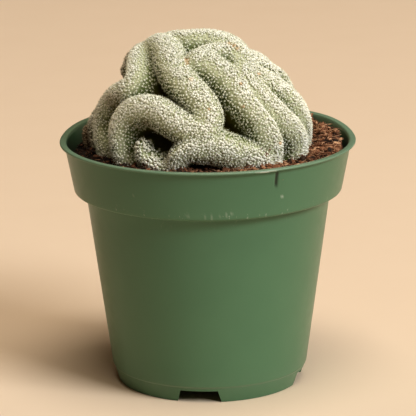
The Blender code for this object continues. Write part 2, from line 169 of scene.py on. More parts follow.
@dataclass
class Surface:
    """A mesh in the making: points, arrays of faces with the same number of corners, and values.

    Args:
        points: One point a row, in metres.
        faces: Arrays of corner indices, one face a row.
        values: Named values at the points, for the materials.
    """

    points: Floats
    faces: list[Ints]
    values: dict[str, Floats] = field(default_factory=dict)

    @staticmethod
    def joined(parts: list["Surface"]) -> "Surface":
        """One surface from several with the same named values.

        Args:
            parts: The surfaces to join.

        Returns:
            The joined surface.
        """
        starts = np.cumsum([0] + [len(part.points) for part in parts[:-1]])
        faces = [corners + start for part, start in zip(parts, starts) for corners in part.faces]
        values = {name: np.concatenate([part.values[name] for part in parts]) for name in parts[0].values}
        return Surface(np.vstack([part.points for part in parts]), faces, values)

    @staticmethod
    def copies(shape: Floats, faces: list[Ints], at: Floats, axes: Floats) -> "Surface":
        """The same small shape set many times: point = place + shape times that copy's axes.

        Args:
            shape: The shape's points (s, 3), or a shape for each copy (n, s, 3).
            faces: The shape's faces.
            at: The places (n, 3).
            axes: For each copy its x, y and z axes as rows, scaled (n, 3, 3).

        Returns:
            The copies in one surface.
        """
        points = at[:, None, :] + np.matmul(np.broadcast_to(shape, (len(at), *shape.shape[-2:])), axes)
        steps = np.arange(len(at)) * shape.shape[-2]
        spread = [(corners[None] + steps[:, None, None]).reshape(-1, corners.shape[1]) for corners in faces]
        return Surface(points.reshape(-1, 3), spread)

    def build(self, name: str, finish: bpy.types.Material, slot: Slot, smooth: bool = True,
              sharp: float | None = None) -> bpy.types.Object:
        """Make the object, with its place in its mesh, and let it ride on the one body.

        Args:
            name: The piece's name.
            finish: Its material.
            slot: The record's slot for it; not used.
            smooth: Whether its faces are shaded smooth.
            sharp: The angle in degrees past which an edge stays sharp.

        Returns:
            The new object.
        """
        mesh = bpy.data.meshes.new(name)
        corners = np.concatenate([part.ravel() for part in self.faces]).astype(np.int32)
        sizes = np.concatenate([np.full(len(part), part.shape[1]) for part in self.faces])
        mesh.vertices.add(len(self.points))
        mesh.vertices.foreach_set("co", self.points.astype(np.float32).ravel())
        mesh.loops.add(len(corners))
        mesh.loops.foreach_set("vertex_index", corners)
        mesh.polygons.add(len(sizes))
        mesh.polygons.foreach_set("loop_start", (np.cumsum(sizes) - sizes).astype(np.int32))
        mesh.polygons.foreach_set("use_smooth", np.full(len(sizes), smooth))
        mesh.update(calc_edges=True)
        for key, value in self.values.items():
            mesh.attributes.new(key, "FLOAT", "POINT").data.foreach_set("value", value.astype(np.float32))
        if sharp is not None:
            mesh.set_sharp_from_angle(angle=math.radians(sharp))
        mesh.materials.append(finish)
        piece = bpy.data.objects.new(name, mesh)
        bpy.context.scene.collection.objects.link(piece)
        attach(piece, "root")
        log.info("%s: %d faces", name, len(sizes))
        return piece


def grid_quads(rows: int, columns: int) -> Ints:
    """Quads of a grid whose columns close round an axis, facing out where rows run downwards.

    Args:
        rows: Number of rows of points.
        columns: Number of points in each row.

    Returns:
        The corner indices, one quad a row.
    """
    row, column = np.meshgrid(np.arange(rows - 1), np.arange(columns), indexing="ij")
    after = (column + 1) % columns
    quads = [row * columns + column, (row + 1) * columns + column, (row + 1) * columns + after,
             row * columns + after]
    return np.stack(quads, -1).reshape(-1, 4)


def fans(rows: int, columns: int, first: int, last: int) -> Ints:
    """Triangles that close a grid's first and last rows to two pole points.

    Args:
        rows: Number of rows of points.
        columns: Number of points in each row.
        first: Index of the pole before the first row.
        last: Index of the pole after the last row.

    Returns:
        The corner indices, one triangle a row.
    """
    column = np.arange(columns)
    after = (column + 1) % columns
    start = (rows - 1) * columns
    top = np.stack([np.full(columns, first), column, after], -1)
    bottom = np.stack([start + column, np.full(columns, last), start + after], -1)
    return np.vstack([top, bottom])


def rounded(points: list[tuple[float, float, float]], steps: int = 5) -> Floats:
    """An outline with its corners eased: each corner is a parabola from one leg to the other.

    The parabola is (1 - t)^2 a + 2 t (1 - t) b + t^2 c, with b the corner and a and c the points
    at the corner's ease along its legs.

    Args:
        points: Corners as (radius, height, ease), in any one unit.
        steps: Points along each eased corner.

    Returns:
        The outline's points (n, 2).
    """
    corners = np.array([point[:2] for point in points])
    outline = [corners[:1]]
    t = np.linspace(0.0, 1.0, steps)[:, None]
    for before, corner, after, (_, _, ease) in zip(corners, corners[1:], corners[2:], points[1:]):
        if ease == 0:
            outline.append(corner[None])
            continue
        reach = min(ease, *(0.49 * np.linalg.norm(leg - corner) for leg in (before, after)))
        a = corner + unit(before - corner) * reach
        c = corner + unit(after - corner) * reach
        outline.append((1 - t) ** 2 * a + 2 * t * (1 - t) * corner + t**2 * c)
    return np.vstack([*outline, corners[-1:]])


class Tree:
    """The nodes of one material, with short calls for the nodes that the finishes use."""

    def __init__(self, name: str) -> None:
        """Make the material with its Principled shader.

        Args:
            name: The material's name.
        """
        self.material = bpy.data.materials.new(name)
        self.material.use_nodes = True
        self.nodes = self.material.node_tree.nodes
        self.links = self.material.node_tree.links
        self.shader = self.nodes["Principled BSDF"]
        self.place = self.nodes.new("ShaderNodeTexCoord").outputs["Object"]

    def set(self, **sockets: float | tuple) -> None:
        """Set the shader's own sockets: a keyword is a socket's name with _ for each space."""
        for name, value in sockets.items():
            self.shader.inputs[name.replace("_", " ")].default_value = value

    def value(self, name: str) -> bpy.types.NodeSocket:
        """A value of the mesh.

        Args:
            name: The value's name.

        Returns:
            The value at the point that is shaded.
        """
        node = self.nodes.new("ShaderNodeAttribute")
        node.attribute_name = name
        return node.outputs["Fac"]

    def axis(self, name: str) -> bpy.types.NodeSocket:
        """One object coordinate.

        Args:
            name: X, Y or Z.

        Returns:
            The coordinate in metres.
        """
        node = self.nodes.new("ShaderNodeSeparateXYZ")
        self.links.new(self.place, node.inputs[0])
        return node.outputs[name]

    def noise(self, size_mm: float, detail: float = 2.0, rough: float = 0.5,
              stretch: tuple[float, float, float] = (1, 1, 1)) -> bpy.types.NodeSocket:
        """Noise in object space.

        Args:
            size_mm: The size of one blotch.
            detail: Octaves of finer noise.
            rough: How strong the finer octaves are.
            stretch: Factors on the coordinates; below 1 draws the blotches out.

        Returns:
            The noise, from 0 to 1.
        """
        mapping = self.nodes.new("ShaderNodeMapping")
        mapping.inputs["Scale"].default_value = stretch
        self.links.new(self.place, mapping.inputs["Vector"])
        node = self.nodes.new("ShaderNodeTexNoise")
        node.inputs["Scale"].default_value = 1 / (size_mm * MM)
        node.inputs["Detail"].default_value = detail
        node.inputs["Roughness"].default_value = rough
        self.links.new(mapping.outputs["Vector"], node.inputs["Vector"])
        return node.outputs["Fac"]

    def math(self, kind: str, *terms: bpy.types.NodeSocket | float) -> bpy.types.NodeSocket:
        """A Math node on sockets and numbers.

        Args:
            kind: The operation's name.
            terms: Its inputs in order.

        Returns:
            The result.
        """
        node = self.nodes.new("ShaderNodeMath")
        node.operation = kind
        for socket, term in zip(node.inputs, terms):
            if isinstance(term, bpy.types.NodeSocket):
                self.links.new(term, socket)
            else:
                socket.default_value = term
        return node.outputs[0]

    def ramp(self, factor: bpy.types.NodeSocket, low: float, high: float) -> bpy.types.NodeSocket:
        """A smooth step of a socket from 0 at low to 1 at high, with low above high turned round.

        Args:
            factor: The socket to read.
            low: Where the result is 0.
            high: Where the result is 1.

        Returns:
            The share from 0 to 1.
        """
        node = self.nodes.new("ShaderNodeMapRange")
        node.interpolation_type = "SMOOTHSTEP"
        turned = low > high
        node.inputs["From Min"].default_value = min(low, high)
        node.inputs["From Max"].default_value = max(low, high)
        node.inputs["To Min"].default_value = float(turned)
        node.inputs["To Max"].default_value = float(not turned)
        self.links.new(factor, node.inputs["Value"])
        return node.outputs["Result"]

    def mix(self, factor: bpy.types.NodeSocket, first: bpy.types.NodeSocket | Colour,
            second: bpy.types.NodeSocket | Colour) -> bpy.types.NodeSocket:
        """A colour from first to second by a factor.

        Args:
            factor: The share of the second colour.
            first: A socket or a colour.
            second: A socket or a colour.

        Returns:
            The mixed colour.
        """
        node = self.nodes.new("ShaderNodeMix")
        node.data_type = "RGBA"
        self.links.new(factor, node.inputs["Factor"])
        for index, colour in ((6, first), (7, second)):
            if isinstance(colour, bpy.types.NodeSocket):
                self.links.new(colour, node.inputs[index])
            else:
                node.inputs[index].default_value = (*colour, 1.0)
        return node.outputs[2]

    def colour(self, socket: bpy.types.NodeSocket) -> None:
        """Give the shader its base colour."""
        self.links.new(socket, self.shader.inputs["Base Color"])

    def rough(self, socket: bpy.types.NodeSocket) -> None:
        """Give the shader its roughness."""
        self.links.new(socket, self.shader.inputs["Roughness"])

    def bump(self, height: bpy.types.NodeSocket, depth_mm: float, strength: float = 1.0) -> None:
        """Give the shader a bump.

        Args:
            height: The height, from 0 to 1.
            depth_mm: How deep a height of 1 is.
            strength: The bump's strength.
        """
        node = self.nodes.new("ShaderNodeBump")
        node.inputs["Strength"].default_value = strength
        node.inputs["Distance"].default_value = depth_mm * MM
        self.links.new(height, node.inputs["Height"])
        self.links.new(node.outputs["Normal"], self.shader.inputs["Normal"])


@dataclass(frozen=True)
class PotPlastic:
    """Satin green moulded plastic, dusty inside with painted shade making the inner wall near black, with
    scuffs at the lip and the collar's lower edge, and painted highlights on the lip's top and the foot's
    step.
    """

    green: Colour = (0.078, 0.178, 0.098)
    pale: Colour = (0.095, 0.203, 0.112)
    # Pale: scuffs and wear, and the painted highlights on the lip's top and the foot's step.
    scuff: Colour = (0.50, 0.55, 0.47)
    # Near-black green: painted shade in the moulded groove.
    groove_and_shade: Colour = (0.012, 0.028, 0.014)
    # Near black: dust inside the pot, deepened by painted shade.
    dust_and_shade: Colour = (0.014, 0.012, 0.008)
    roughness: float = 0.35
    uneven_gloss: float = 0.14
    dust_roughness: float = 0.4
    cloud_mm: float = 18.0
    streak_mm: float = 1.1
    streak_levels: tuple[float, float] = (0.60, 0.72)
    dust_mm: float = 2.2
    dust_levels: tuple[float, float] = (0.02, 0.30)
    gloss_mm: float = 4.0
    grain_mm: float = 0.9
    grain_depth_mm: float = 0.012

    def build(self) -> bpy.types.Material:
        """The material: faint cloudiness, and the named values "wear", "mark" (scuffs and painted
        highlights), "groove" (with painted shade) and "dust" (with painted shade).

        Returns:
            The material.
        """
        tree = Tree("pot_plastic")
        base = tree.mix(tree.noise(self.cloud_mm, detail=3), self.green, self.pale)
        streak = tree.noise(self.streak_mm, detail=4, rough=0.7, stretch=(1, 1, 0.35))
        wear_and_highlight = tree.math("MULTIPLY", tree.ramp(streak, *self.streak_levels), tree.value("wear"))
        # Scuffs and painted highlights join the wear streaks.
        wear_and_highlight = tree.math("MAXIMUM", wear_and_highlight, tree.value("mark_and_highlight"))
        # Painted shade: the groove is darkened to near black.
        base = tree.mix(tree.value("groove_and_shade"), tree.mix(wear_and_highlight, base, self.scuff), self.groove_and_shade)
        # Painted shade: the dust mask makes the inner wall near black.
        patches = tree.ramp(tree.noise(self.dust_mm, detail=5, rough=0.7), *self.dust_levels)
        tree.colour(tree.mix(tree.math("MULTIPLY", patches, tree.value("dust_and_shade")), base, self.dust_and_shade))
        uneven = tree.math("MULTIPLY", tree.noise(self.gloss_mm, detail=4), self.uneven_gloss)
        smoothest = self.roughness - self.uneven_gloss / 2
        dull = tree.math("MULTIPLY_ADD", tree.value("dust_and_shade"), self.dust_roughness, smoothest)
        tree.rough(tree.math("ADD", uneven, dull))
        tree.bump(tree.noise(self.grain_mm, detail=2), self.grain_depth_mm)
        return tree.material


@dataclass(frozen=True)
class Flesh:
    """Green flesh between the spines, yellower in the pits and darker there by painted shade, corky brown
    where it is old.
    """

    crest: Colour = (0.56, 0.59, 0.40)
    flank: Colour = (0.130, 0.165, 0.046)
    # Olive flesh of the pits, darkened as painted shade where the flesh lies deep.
    pit_olive_and_shade: Colour = (0.092, 0.080, 0.006)
    cork: Colour = (0.15, 0.095, 0.05)
    scar: Colour = (0.58, 0.36, 0.17)
    blotch_mm: float = 5.0
    blotch_share: float = 0.2
    crest_depths: tuple[float, float] = (0.02, 0.26)
    pit_depths: tuple[float, float] = (0.42, 0.72)
    roughness: float = 0.62
    skin_mm: float = 0.5
    skin_depth_mm: float = 0.06

    def build(self) -> bpy.types.Material:
        """The material, led by the named values "depth", "age" and "stain".

        Returns:
            The material.
        """
        tree = Tree("cactus_flesh")
        share = self.blotch_share
        blotch = tree.math("MULTIPLY_ADD", tree.noise(self.blotch_mm), share, -share / 2)
        depth = tree.math("ADD", tree.value("depth"), blotch)
        base = tree.mix(tree.ramp(depth, *self.crest_depths), self.crest, self.flank)
        # Painted shade: the deeper the flesh lies, the darker and more olive it is.
        base = tree.mix(tree.ramp(depth, *self.pit_depths), base, self.pit_olive_and_shade)
        base = tree.mix(tree.value("age"), base, self.cork)
        tree.colour(tree.mix(tree.value("stain"), base, self.scar))
        tree.set(Roughness=self.roughness)
        tree.bump(tree.noise(self.skin_mm, detail=3), self.skin_depth_mm)
        return tree.material


@dataclass(frozen=True)
class Bristle:
    """Short glassy spines, from white to straw, dulled brown where the plant is old."""

    white: Colour = (0.86, 0.87, 0.78)
    straw: Colour = (0.80, 0.81, 0.52)
    old: Colour = (0.34, 0.25, 0.16)
    scar: Colour = (0.74, 0.52, 0.30)
    roughness: float = 0.48

    def build(self) -> bpy.types.Material:
        """The material, led by the named values "tone", "age" and "stain".

        Returns:
            The material.
        """
        tree = Tree("spine")
        base = tree.mix(tree.value("tone"), self.white, self.straw)
        base = tree.mix(tree.value("age"), base, self.old)
        tree.colour(tree.mix(tree.value("stain"), base, self.scar))
        tree.set(Roughness=self.roughness)
        return tree.material


@dataclass(frozen=True)
class Wool:
    """The felt of the areoles, matt and nearly white."""

    white: Colour = (0.86, 0.865, 0.78)
    old: Colour = (0.40, 0.31, 0.20)
    scar: Colour = (0.76, 0.54, 0.32)
    roughness: float = 0.95
    felt_mm: float = 0.12
    felt_depth_mm: float = 0.05

    def build(self) -> bpy.types.Material:
        """The material, led by the named values "age" and "stain".

        Returns:
            The material.
        """
        tree = Tree("areole_wool")
        base = tree.mix(tree.value("age"), self.white, self.old)
        tree.colour(tree.mix(tree.value("stain"), base, self.scar))
        tree.set(Roughness=self.roughness)
        tree.bump(tree.noise(self.felt_mm, detail=2), self.felt_depth_mm)
        return tree.material


@dataclass(frozen=True)
class Coir:
    """Moist coir and peat: dark crumbs, red-brown chips and paler fibres."""

    dark: Colour = (0.018, 0.009, 0.005)
    brown: Colour = (0.215, 0.092, 0.044)
    light: Colour = (0.66, 0.40, 0.24)
    blotch_mm: float = 0.9
    blotch_share: float = 0.5
    brown_tones: tuple[float, float] = (0.1, 0.5)
    light_tones: tuple[float, float] = (0.6, 1.0)
    roughness: float = 0.88
    grit_mm: float = 0.4
    grit_depth_mm: float = 0.25

    def build(self) -> bpy.types.Material:
        """The material, led by the named value "tone".

        Returns:
            The material.
        """
        tree = Tree("soil")
        share = self.blotch_share
        blotch = tree.math("MULTIPLY_ADD", tree.noise(self.blotch_mm, detail=4), share, -share / 2)
        tone = tree.math("ADD", tree.value("tone"), blotch)
        base = tree.mix(tree.ramp(tone, *self.brown_tones), self.dark, self.brown)
        tree.colour(tree.mix(tree.ramp(tone, *self.light_tones), base, self.light))
        tree.set(Roughness=self.roughness)
        tree.bump(tree.noise(self.grit_mm, detail=4, rough=0.7), self.grit_depth_mm)
        return tree.material


@dataclass(frozen=True)
class Paper:
    """The warm cream of the studio's floor, with painted shade in front and a painted falloff far out."""

    cream: Colour = (0.80, 0.645, 0.495)
    grain: Colour = (0.82, 0.665, 0.515)
    # Painted shade: a deeper cream for the floor in front of the object.
    front: Colour = (0.69, 0.585, 0.48)
    # Painted shade: the floor and wall fall off to near black far from the object.
    far_shade: Colour = (0.08, 0.065, 0.05)
    front_m: tuple[float, float] = (0.08, -0.22)
    fade_m: tuple[float, float] = (0.84, 1.3)
    grain_mm: float = 30.0
    roughness: float = 0.9
    sheen: float = 0.2

    def build(self) -> bpy.types.Material:
        """The material, with a faint grain, and painted shade: darker in front, and falling off to near black
        far from the object.

        Returns:
            The material.
        """
        tree = Tree("studio_paper")
        near = tree.mix(tree.noise(self.grain_mm, detail=3), self.cream, self.grain)
        # Painted shade towards the front.
        near = tree.mix(tree.ramp(tree.axis("Y"), *self.front_m), near, self.front)
        square = tree.math("ADD", *(tree.math("MULTIPLY", tree.axis(name), tree.axis(name)) for name in "XY"))
        # Painted shade: falloff to near black far out.
        tree.colour(tree.mix(tree.ramp(tree.math("SQRT", square), *self.fade_m), near, self.far_shade))
        tree.set(Roughness=self.roughness, Specular_IOR_Level=self.sheen)
        return tree.material


@dataclass(frozen=True)
class Fold:
    """One ridge of the crest: its two half widths in mm, left and right of travel, and its route.

    The route is points on the dome: azimuth and elevation in degrees, then where they differ from
    0 and 1 the crest's lift above the dome in mm and a scale on both half widths.
    """

    left: float
    right: float
    route: tuple[tuple[float, ...], ...]


FOLDS: dict[str, Fold] = {
    "front_arch": Fold(4.2, 9.3, (
        (-49, -14, 0, 0.8), (-53, -5, 0, 0.8), (-54, 3, 0, 0.8), (-54, 9, 0, 0.85), (-52, 15, 0, 0.9),
        (-48, 20, 0, 0.95), (-42, 23), (-34, 24.5), (-26, 23.5), (-19, 20.5), (-13, 17.5), (-7, 14.5),
        (-1, 12.5), (4, 11.5))),
    "brow": Fold(5.5, 9.4, (
        (-132, 56, -0.8, 0.8), (-112, 61, 0.2, 0.85), (-90, 66, 0.8, 0.9), (-58.5, 67.5, 0.6, 0.95),
        (-38.5, 62, 0.3), (-27, 55), (-18, 47.5, 0, 0.97), (-11, 42, 0, 0.95), (-4, 36, 0, 0.93),
        (1, 31, 0, 0.92), (4.5, 25.5, 0, 0.95), (6, 20), (5.5, 15), (3.5, 11.5))),
    "low_front": Fold(5.6, 9.5, (
        (-17, -14, -0.6, 0.6), (-15, -7, -0.3, 0.6), (-13, -3, 0, 0.65), (-10, 0, 0, 0.7),
        (-6.5, 2, 0, 0.85), (-2, 3.5), (3, 4), (8, 3.5), (13, 2), (19, -0.5), (26, -3), (33, -6),
        (39.5, -10), (45, -14))),
    "low_lobe": Fold(3.7, 10.0, (
        (-34.5, -0.5, -1.6, 0.5), (-33, -4.5, -0.8, 0.7), (-29, -8, -0.5, 0.85), (-24, -9.8, -0.5, 0.9),
        (-19, -10.5, -0.6, 0.85))),
    "shoulder": Fold(4.6, 9.0, (
        (-1, 58.5, -0.5), (7.5, 57), (13.5, 55), (18.5, 50.5), (22.5, 46.5), (25.5, 42.5), (27.5, 38),
        (28.5, 34, 0, 0.93), (29.5, 29, 0, 0.85), (32.5, 23.5, 0, 0.8), (35.5, 18.5, 0, 0.8),
        (39, 13, 0, 0.85), (41.5, 8.5, 0, 0.95), (43.5, 3.5), (45, -1.5), (45, -7), (45, -14))),
    "saddle": Fold(4.2, 4.6, (
        (-4.5, 61, -1), (4, 63.5, -0.5), (15, 65, -0.2), (27.5, 64.5), (39, 63), (47, 59.5))),
    "crown": Fold(5.8, 9.0, (
        (-132, 64, -0.8, 0.8), (-115, 71, -0.3, 0.8), (-95, 77, 0, 0.9), (-60, 83), (50, 84, 0.1),
        (57, 77, 0.2), (55, 70, 0.4), (54, 64, 0.4), (52, 58, 0.2), (49, 51.5), (44, 45.5), (38, 42))),
    "right_inner": Fold(4.7, 8.2, (
        (39, 37), (40.5, 34), (42.5, 30), (44.5, 26.5), (47, 23), (51, 18), (55.5, 13), (62, 7.5),
        (67, 2, 0.2), (70, -3, 0.6), (71, -8, 1, 0.9), (70, -14, 1.2, 0.85))),
    "right_outer": Fold(7.2, 7.2, (
        (36, 40.5), (45, 40.5), (50.5, 39), (57, 35.5, -0.6), (62.5, 31, -1), (68, 26, -1),
        (73, 20.5, -0.6), (77, 15, -0.2), (80, 9.5, 0.1), (83, 4, 0.2), (87, -3, 0.2), (90, -14, 0.2))),
    "right_top": Fold(5.0, 5.0, (
        (50.5, 51, -0.3), (61, 50.5, -0.7), (67.5, 47.5, -1.2), (73, 43.5, -1.7), (75.5, 39, -2.3),
        (78, 34.5, -3.2), (83, 29.5, -4.4), (90, 24, -5.2), (97, 16, -4.2), (103, 8, -2), (106, 0, -0.8),
        (107, -14, -0.6))),
    "left": Fold(7.6, 3.4, (
        (-112, 51, -1.4, 0.9), (-101, 52.5, 0.2, 0.95), (-89, 51, 0.5), (-76, 47.5, 0.2), (-65, 43.5),
        (-58, 38.5), (-56.5, 34.5), (-61, 30.5), (-67, 26.5), (-73, 21.5, -0.4), (-77, 15, -0.5),
        (-79, 9, -0.5), (-78.5, 4, -0.5), (-76, -1, -0.5), (-71, -8), (-66, -14))),
    "left_knob": Fold(4.8, 4.8, (
        (-160, 54, -2.5), (-140, 55, -2.5), (-123, 52, -1.8), (-111, 49, -0.8), (-103, 46, -0.3),
        (-97, 43, -1.1), (-94, 40, -2.3))),
    "left_rim": Fold(4.2, 4.2, (
        (-90, 14, -3.2), (-94, 9, -0.9), (-96, 4, 0.7), (-96, -2, 1.5), (-94, -8, 1), (-92, -14))),
    "old_lump": Fold(4.6, 4.6, ((-101, -5, 4), (-100, -10, 4))),
    "back_left": Fold(6.4, 6.4, (
        (-107, -14), (-109, -2, -0.5), (-113, 8, -2), (-120, 17, -3.5), (-123, 27, -4), (-123, 35, -3.5),
        (-129, 41, -2), (-137, 40, -1), (-140, 31, -1), (-136, 22, -0.5), (-131, 13), (-128, 3),
        (-127, -14))),
    "back_middle": Fold(6.6, 6.6, (
        (-147, -14), (-148, 0), (-153, 9), (-157, 19), (-156, 30), (-158, 40), (-169, 47), (178, 46),
        (172, 37), (173, 26), (178, 17), (-177, 7), (-173, -3), (-170, -14))),
    "back_ridge": Fold(6.6, 6.6, (
        (-150, 57), (-168, 61), (170, 62), (152, 57), (147, 48), (150, 38), (153, 28), (159, 18), (163, 8),
        (165, -3), (165, -14))),
    "back_right": Fold(6.6, 6.6, (
        (145, -14), (145, -2), (141, 8), (136, 18), (132, 28), (129, 38, -1.2), (125, 47, -3.2),
        (114, 53, -4.6), (104, 51, -5), (103, 43, -4.2), (108, 35, -3), (114, 26, -1.2), (119, 17),
        (122, 7), (125, -3), (126, -14))),
}


@dataclass(frozen=True)
class Crest:
    """The crest line of one fold, sampled evenly on the dome.

    Args:
        line: Its points from the dome's centre, in mm (n, 3).
        side: Unit vectors to the left of travel (n, 3).
        along: Unit vectors of travel (n, 3).
        lift: The crest's height above the dome, in mm (n,).
        scale: The scale on the fold's half widths (n,).
    """

    line: Floats
    side: Floats
    along: Floats
    lift: Floats
    scale: Floats


@dataclass(frozen=True)
class Patch:
    """A round patch of the dome that looks different.

    Args:
        azimuth: Its middle's azimuth.
        elevation: Its middle's elevation.
        reach: Its radius in degrees.
        strength: How strong it is in its middle, from 0 to 1.
    """

    azimuth: float
    elevation: float
    reach: float
    strength: float


@dataclass
class FoldedDome:
    """The form of the cactus: an ellipsoid from whose surface eighteen folds fall away.

    Across a fold the surface falls as a superellipse of the distance from the crest over the half
    width of that side, and from just short of the half width on as a steep wall. The shallowest
    fold wins, with a little rounding where two meet.
    """

    centre_mm: tuple[float, float, float] = (-2.5, 0.0, 94.0)
    axes_mm: tuple[float, float, float] = (39.6, 38.9, 35.9)
    fold_depth_mm: float = 12.0
    roundness: float = 2.5
    wall_start: float = 0.96
    wall_slope: float = 1.8
    blend_mm: float = 0.5
    core_depth_mm: float = 14.0
    side_sharpness: float = 1.2
    crest_step_mm: float = 1.0
    spline_steps: int = 12
    old_growth: tuple[Patch, ...] = (
        Patch(-101, -6, 13, 0.95), Patch(-92, 22, 22, 0.45), Patch(-110, 2, 20, 0.6),
        Patch(-60, -12, 12, 0.3), Patch(-62, 21, 8, 0.45), Patch(-98, 42, 13, 0.55), Patch(-33, 13, 5, 0.35),
        Patch(-18, -4, 3, 0.3))
    scars: tuple[Patch, ...] = (
        Patch(-13.7, 55.6, 2.1, 0.9), Patch(-12.6, 52.6, 1.8, 0.8), Patch(41.5, 64.4, 1.8, 0.8),
        Patch(43.6, 61.9, 2.0, 0.9), Patch(44.2, 58.8, 1.6, 0.8), Patch(44.4, 39.0, 1.1, 0.8),
        Patch(27.8, 35.3, 1.1, 0.9), Patch(25.7, 22.9, 1.0, 0.8), Patch(4.9, 22.6, 1.0, 0.8),
        Patch(-6.3, 39.4, 1.0, 0.7), Patch(45.1, 0.7, 1.1, 0.8))
    bare: tuple[Patch, ...] = (
        Patch(17.0, 11.5, 4.2, 0.95), Patch(69.5, 43.0, 1.2, 0.9), Patch(69.1, 40.5, 1.2, 0.9),
        Patch(68.8, 38.0, 1.2, 0.9), Patch(68.6, 35.3, 1.2, 0.9), Patch(68.5, 32.6, 1.2, 0.9))
    bare_depths: tuple[float, float] = (0.36, 0.64)
    patch_scale: float = 40.0
    patch_pitch: float = 7.0
    patch_ragged: float = 0.25
    patch_edge: tuple[float, float] = (0.35, 1.1)
    crests: dict[str, Crest] = field(init=False)

    def __post_init__(self) -> None:
        """Sample the crest of every fold."""
        self.crests = {name: self.crest(fold) for name, fold in FOLDS.items()}

    def dome(self, ways: Floats) -> Floats:
        """Distance from the centre to the ellipsoid: 1 / sqrt(sum((way / axis)^2)), in mm.

        Args:
            ways: Unit vectors.

        Returns:
            The distances.
        """
        return 1 / np.sqrt(((ways / np.array(self.axes_mm)) ** 2).sum(-1))

    def crest(self, fold: Fold) -> Crest:
        """Sample a fold's crest: a Catmull-Rom spline of directions, put back on the ellipsoid.

        Args:
            fold: The fold.

        Returns:
            Its crest at even steps.
        """
        defaults = (0.0, 0.0, 0.0, 1.0)
        points = np.array([(*point, *defaults[len(point):]) for point in fold.route])
        ways = direction(points[:, 0], points[:, 1])
        ways = np.vstack([2 * ways[0] - ways[1], ways, 2 * ways[-1] - ways[-2]])
        t = np.linspace(0, 1, self.spline_steps, endpoint=False)[:, None]
        spans = [0.5 * (2 * b + (c - a) * t + (2 * a - 5 * b + 4 * c - d) * t**2
                        + (3 * b - a - 3 * c + d) * t**3)
                 for a, b, c, d in zip(ways[:-3], ways[1:-2], ways[2:-1], ways[3:])]
        line = unit(np.vstack([*spans, ways[-2:-1]]))
        line = line * self.dome(line)[:, None]
        knots = np.linspace(0, len(points) - 1, len(line))
        lift, scale = (np.interp(knots, np.arange(len(points)), points[:, k]) for k in (2, 3))
        run = np.concatenate([[0], np.cumsum(np.linalg.norm(np.diff(line, axis=0), axis=1))])
        even = np.linspace(0, run[-1], max(3, int(run[-1] / self.crest_step_mm) + 1))
        line = unit(np.stack([np.interp(even, run, line[:, axis]) for axis in range(3)], -1))
        along = unit(np.gradient(line * self.dome(line)[:, None], axis=0))
        return Crest(line * self.dome(line)[:, None], unit(np.cross(line, along)), along,
                     np.interp(even, run, lift), np.interp(even, run, scale))

    def fall(self, across: Floats, width: Floats | float) -> Floats:
        """How far a fold falls: depth (1 - (1 - x^p)^(1/p)) up to the wall, then slope times distance.

        Args:
            across: The distance from the crest over the half width, x.
            width: The half width in mm.

        Returns:
            The fall in mm.
        """
        near = np.minimum(across, self.wall_start)
        arch = self.fold_depth_mm * (1 - (1 - near**self.roundness) ** (1 / self.roundness))
        return arch + np.maximum(across - self.wall_start, 0) * width * self.wall_slope

    def drops(self, ways: Floats) -> tuple[Ints, Floats, Floats]:
        """The fold that is the highest in each direction, and the surface's depth under the dome.

        Args:
            ways: Unit vectors (n, 3).

        Returns:
            The highest fold's number, the distance from its crest and the joined depth, both in mm.
        """
        on_dome = ways * self.dome(ways)[:, None]
        falls, reaches = [], []
        for name, fold in FOLDS.items():
            crest = self.crests[name]
            line = crest.line
            square = (on_dome**2).sum(1)[:, None] - 2 * on_dome @ line.T + (line**2).sum(1)
            nearest = square.argmin(1)
            offset = on_dome - line[nearest]
            away = np.linalg.norm(offset, axis=1)
            for shift in (-1, 0):
                start = np.clip(nearest + shift, 0, len(line) - 2)
                run = line[start + 1] - line[start]
                part = np.clip(((on_dome - line[start]) * run).sum(1) / (run**2).sum(1), 0, 1)
                candidate = on_dome - (line[start] + run * part[:, None])
                length = np.linalg.norm(candidate, axis=1)
                closer = length < away
                offset[closer] = candidate[closer]
                away = np.where(closer, length, away)
            leaning = (offset * crest.side[nearest]).sum(1) / np.maximum(away, 1e-6)
            width = self.width(fold, leaning) * crest.scale[nearest]
            falls.append(self.fall(away / width, width) - crest.lift[nearest])
            reaches.append(away)
        depths = np.array(falls)
        least = depths.min(0)
        joined = least - self.blend_mm * np.log(np.exp((least - depths) / self.blend_mm).sum(0))
        owner = depths.argmin(0)
        return owner, np.array(reaches)[owner, np.arange(len(ways))], np.minimum(joined, self.core_depth_mm)

    def width(self, fold: Fold, leaning: Floats | float) -> Floats:
        """A fold's half width towards a side: it turns smoothly from one side's to the other's.

        Args:
            fold: The fold.
            leaning: The cosine to the left of travel, from 1 on the left to -1 on the right.

        Returns:
            The half width in mm.
        """
        share = 0.5 + 0.5 * np.clip(self.side_sharpness * leaning, -1, 1)
        return fold.right + (fold.left - fold.right) * share

    def place(self, ways: Floats, depth: Floats) -> Floats:
        """Points on the surface: centre + way times (dome - depth), in metres.

        Args:
            ways: Unit vectors.
            depth: The depth under the dome in mm.

        Returns:
            The points.
        """
        return (np.array(self.centre_mm) + ways * (self.dome(ways) - depth)[:, None]) * MM

    def patched(self, ways: Floats, patches: tuple[Patch, ...]) -> Floats:
        """How strongly patches show: the strongest there, eased out to its edge and broken by noise.

        Args:
            ways: Unit vectors.
            patches: The patches.

        Returns:
            Values from 0 to 1.
        """
        ragged = self.patch_ragged * octave_noise(ways * self.patch_scale, self.patch_pitch, 3, 5)
        most = np.zeros(len(ways))
        for patch in patches:
            apart = np.degrees(np.arccos(np.clip(ways @ direction(patch.azimuth, patch.elevation), -1, 1)))
            left = 1 - smoothstep(*self.patch_edge, apart / patch.reach + ragged)
            most = np.maximum(most, patch.strength * left)
        return most


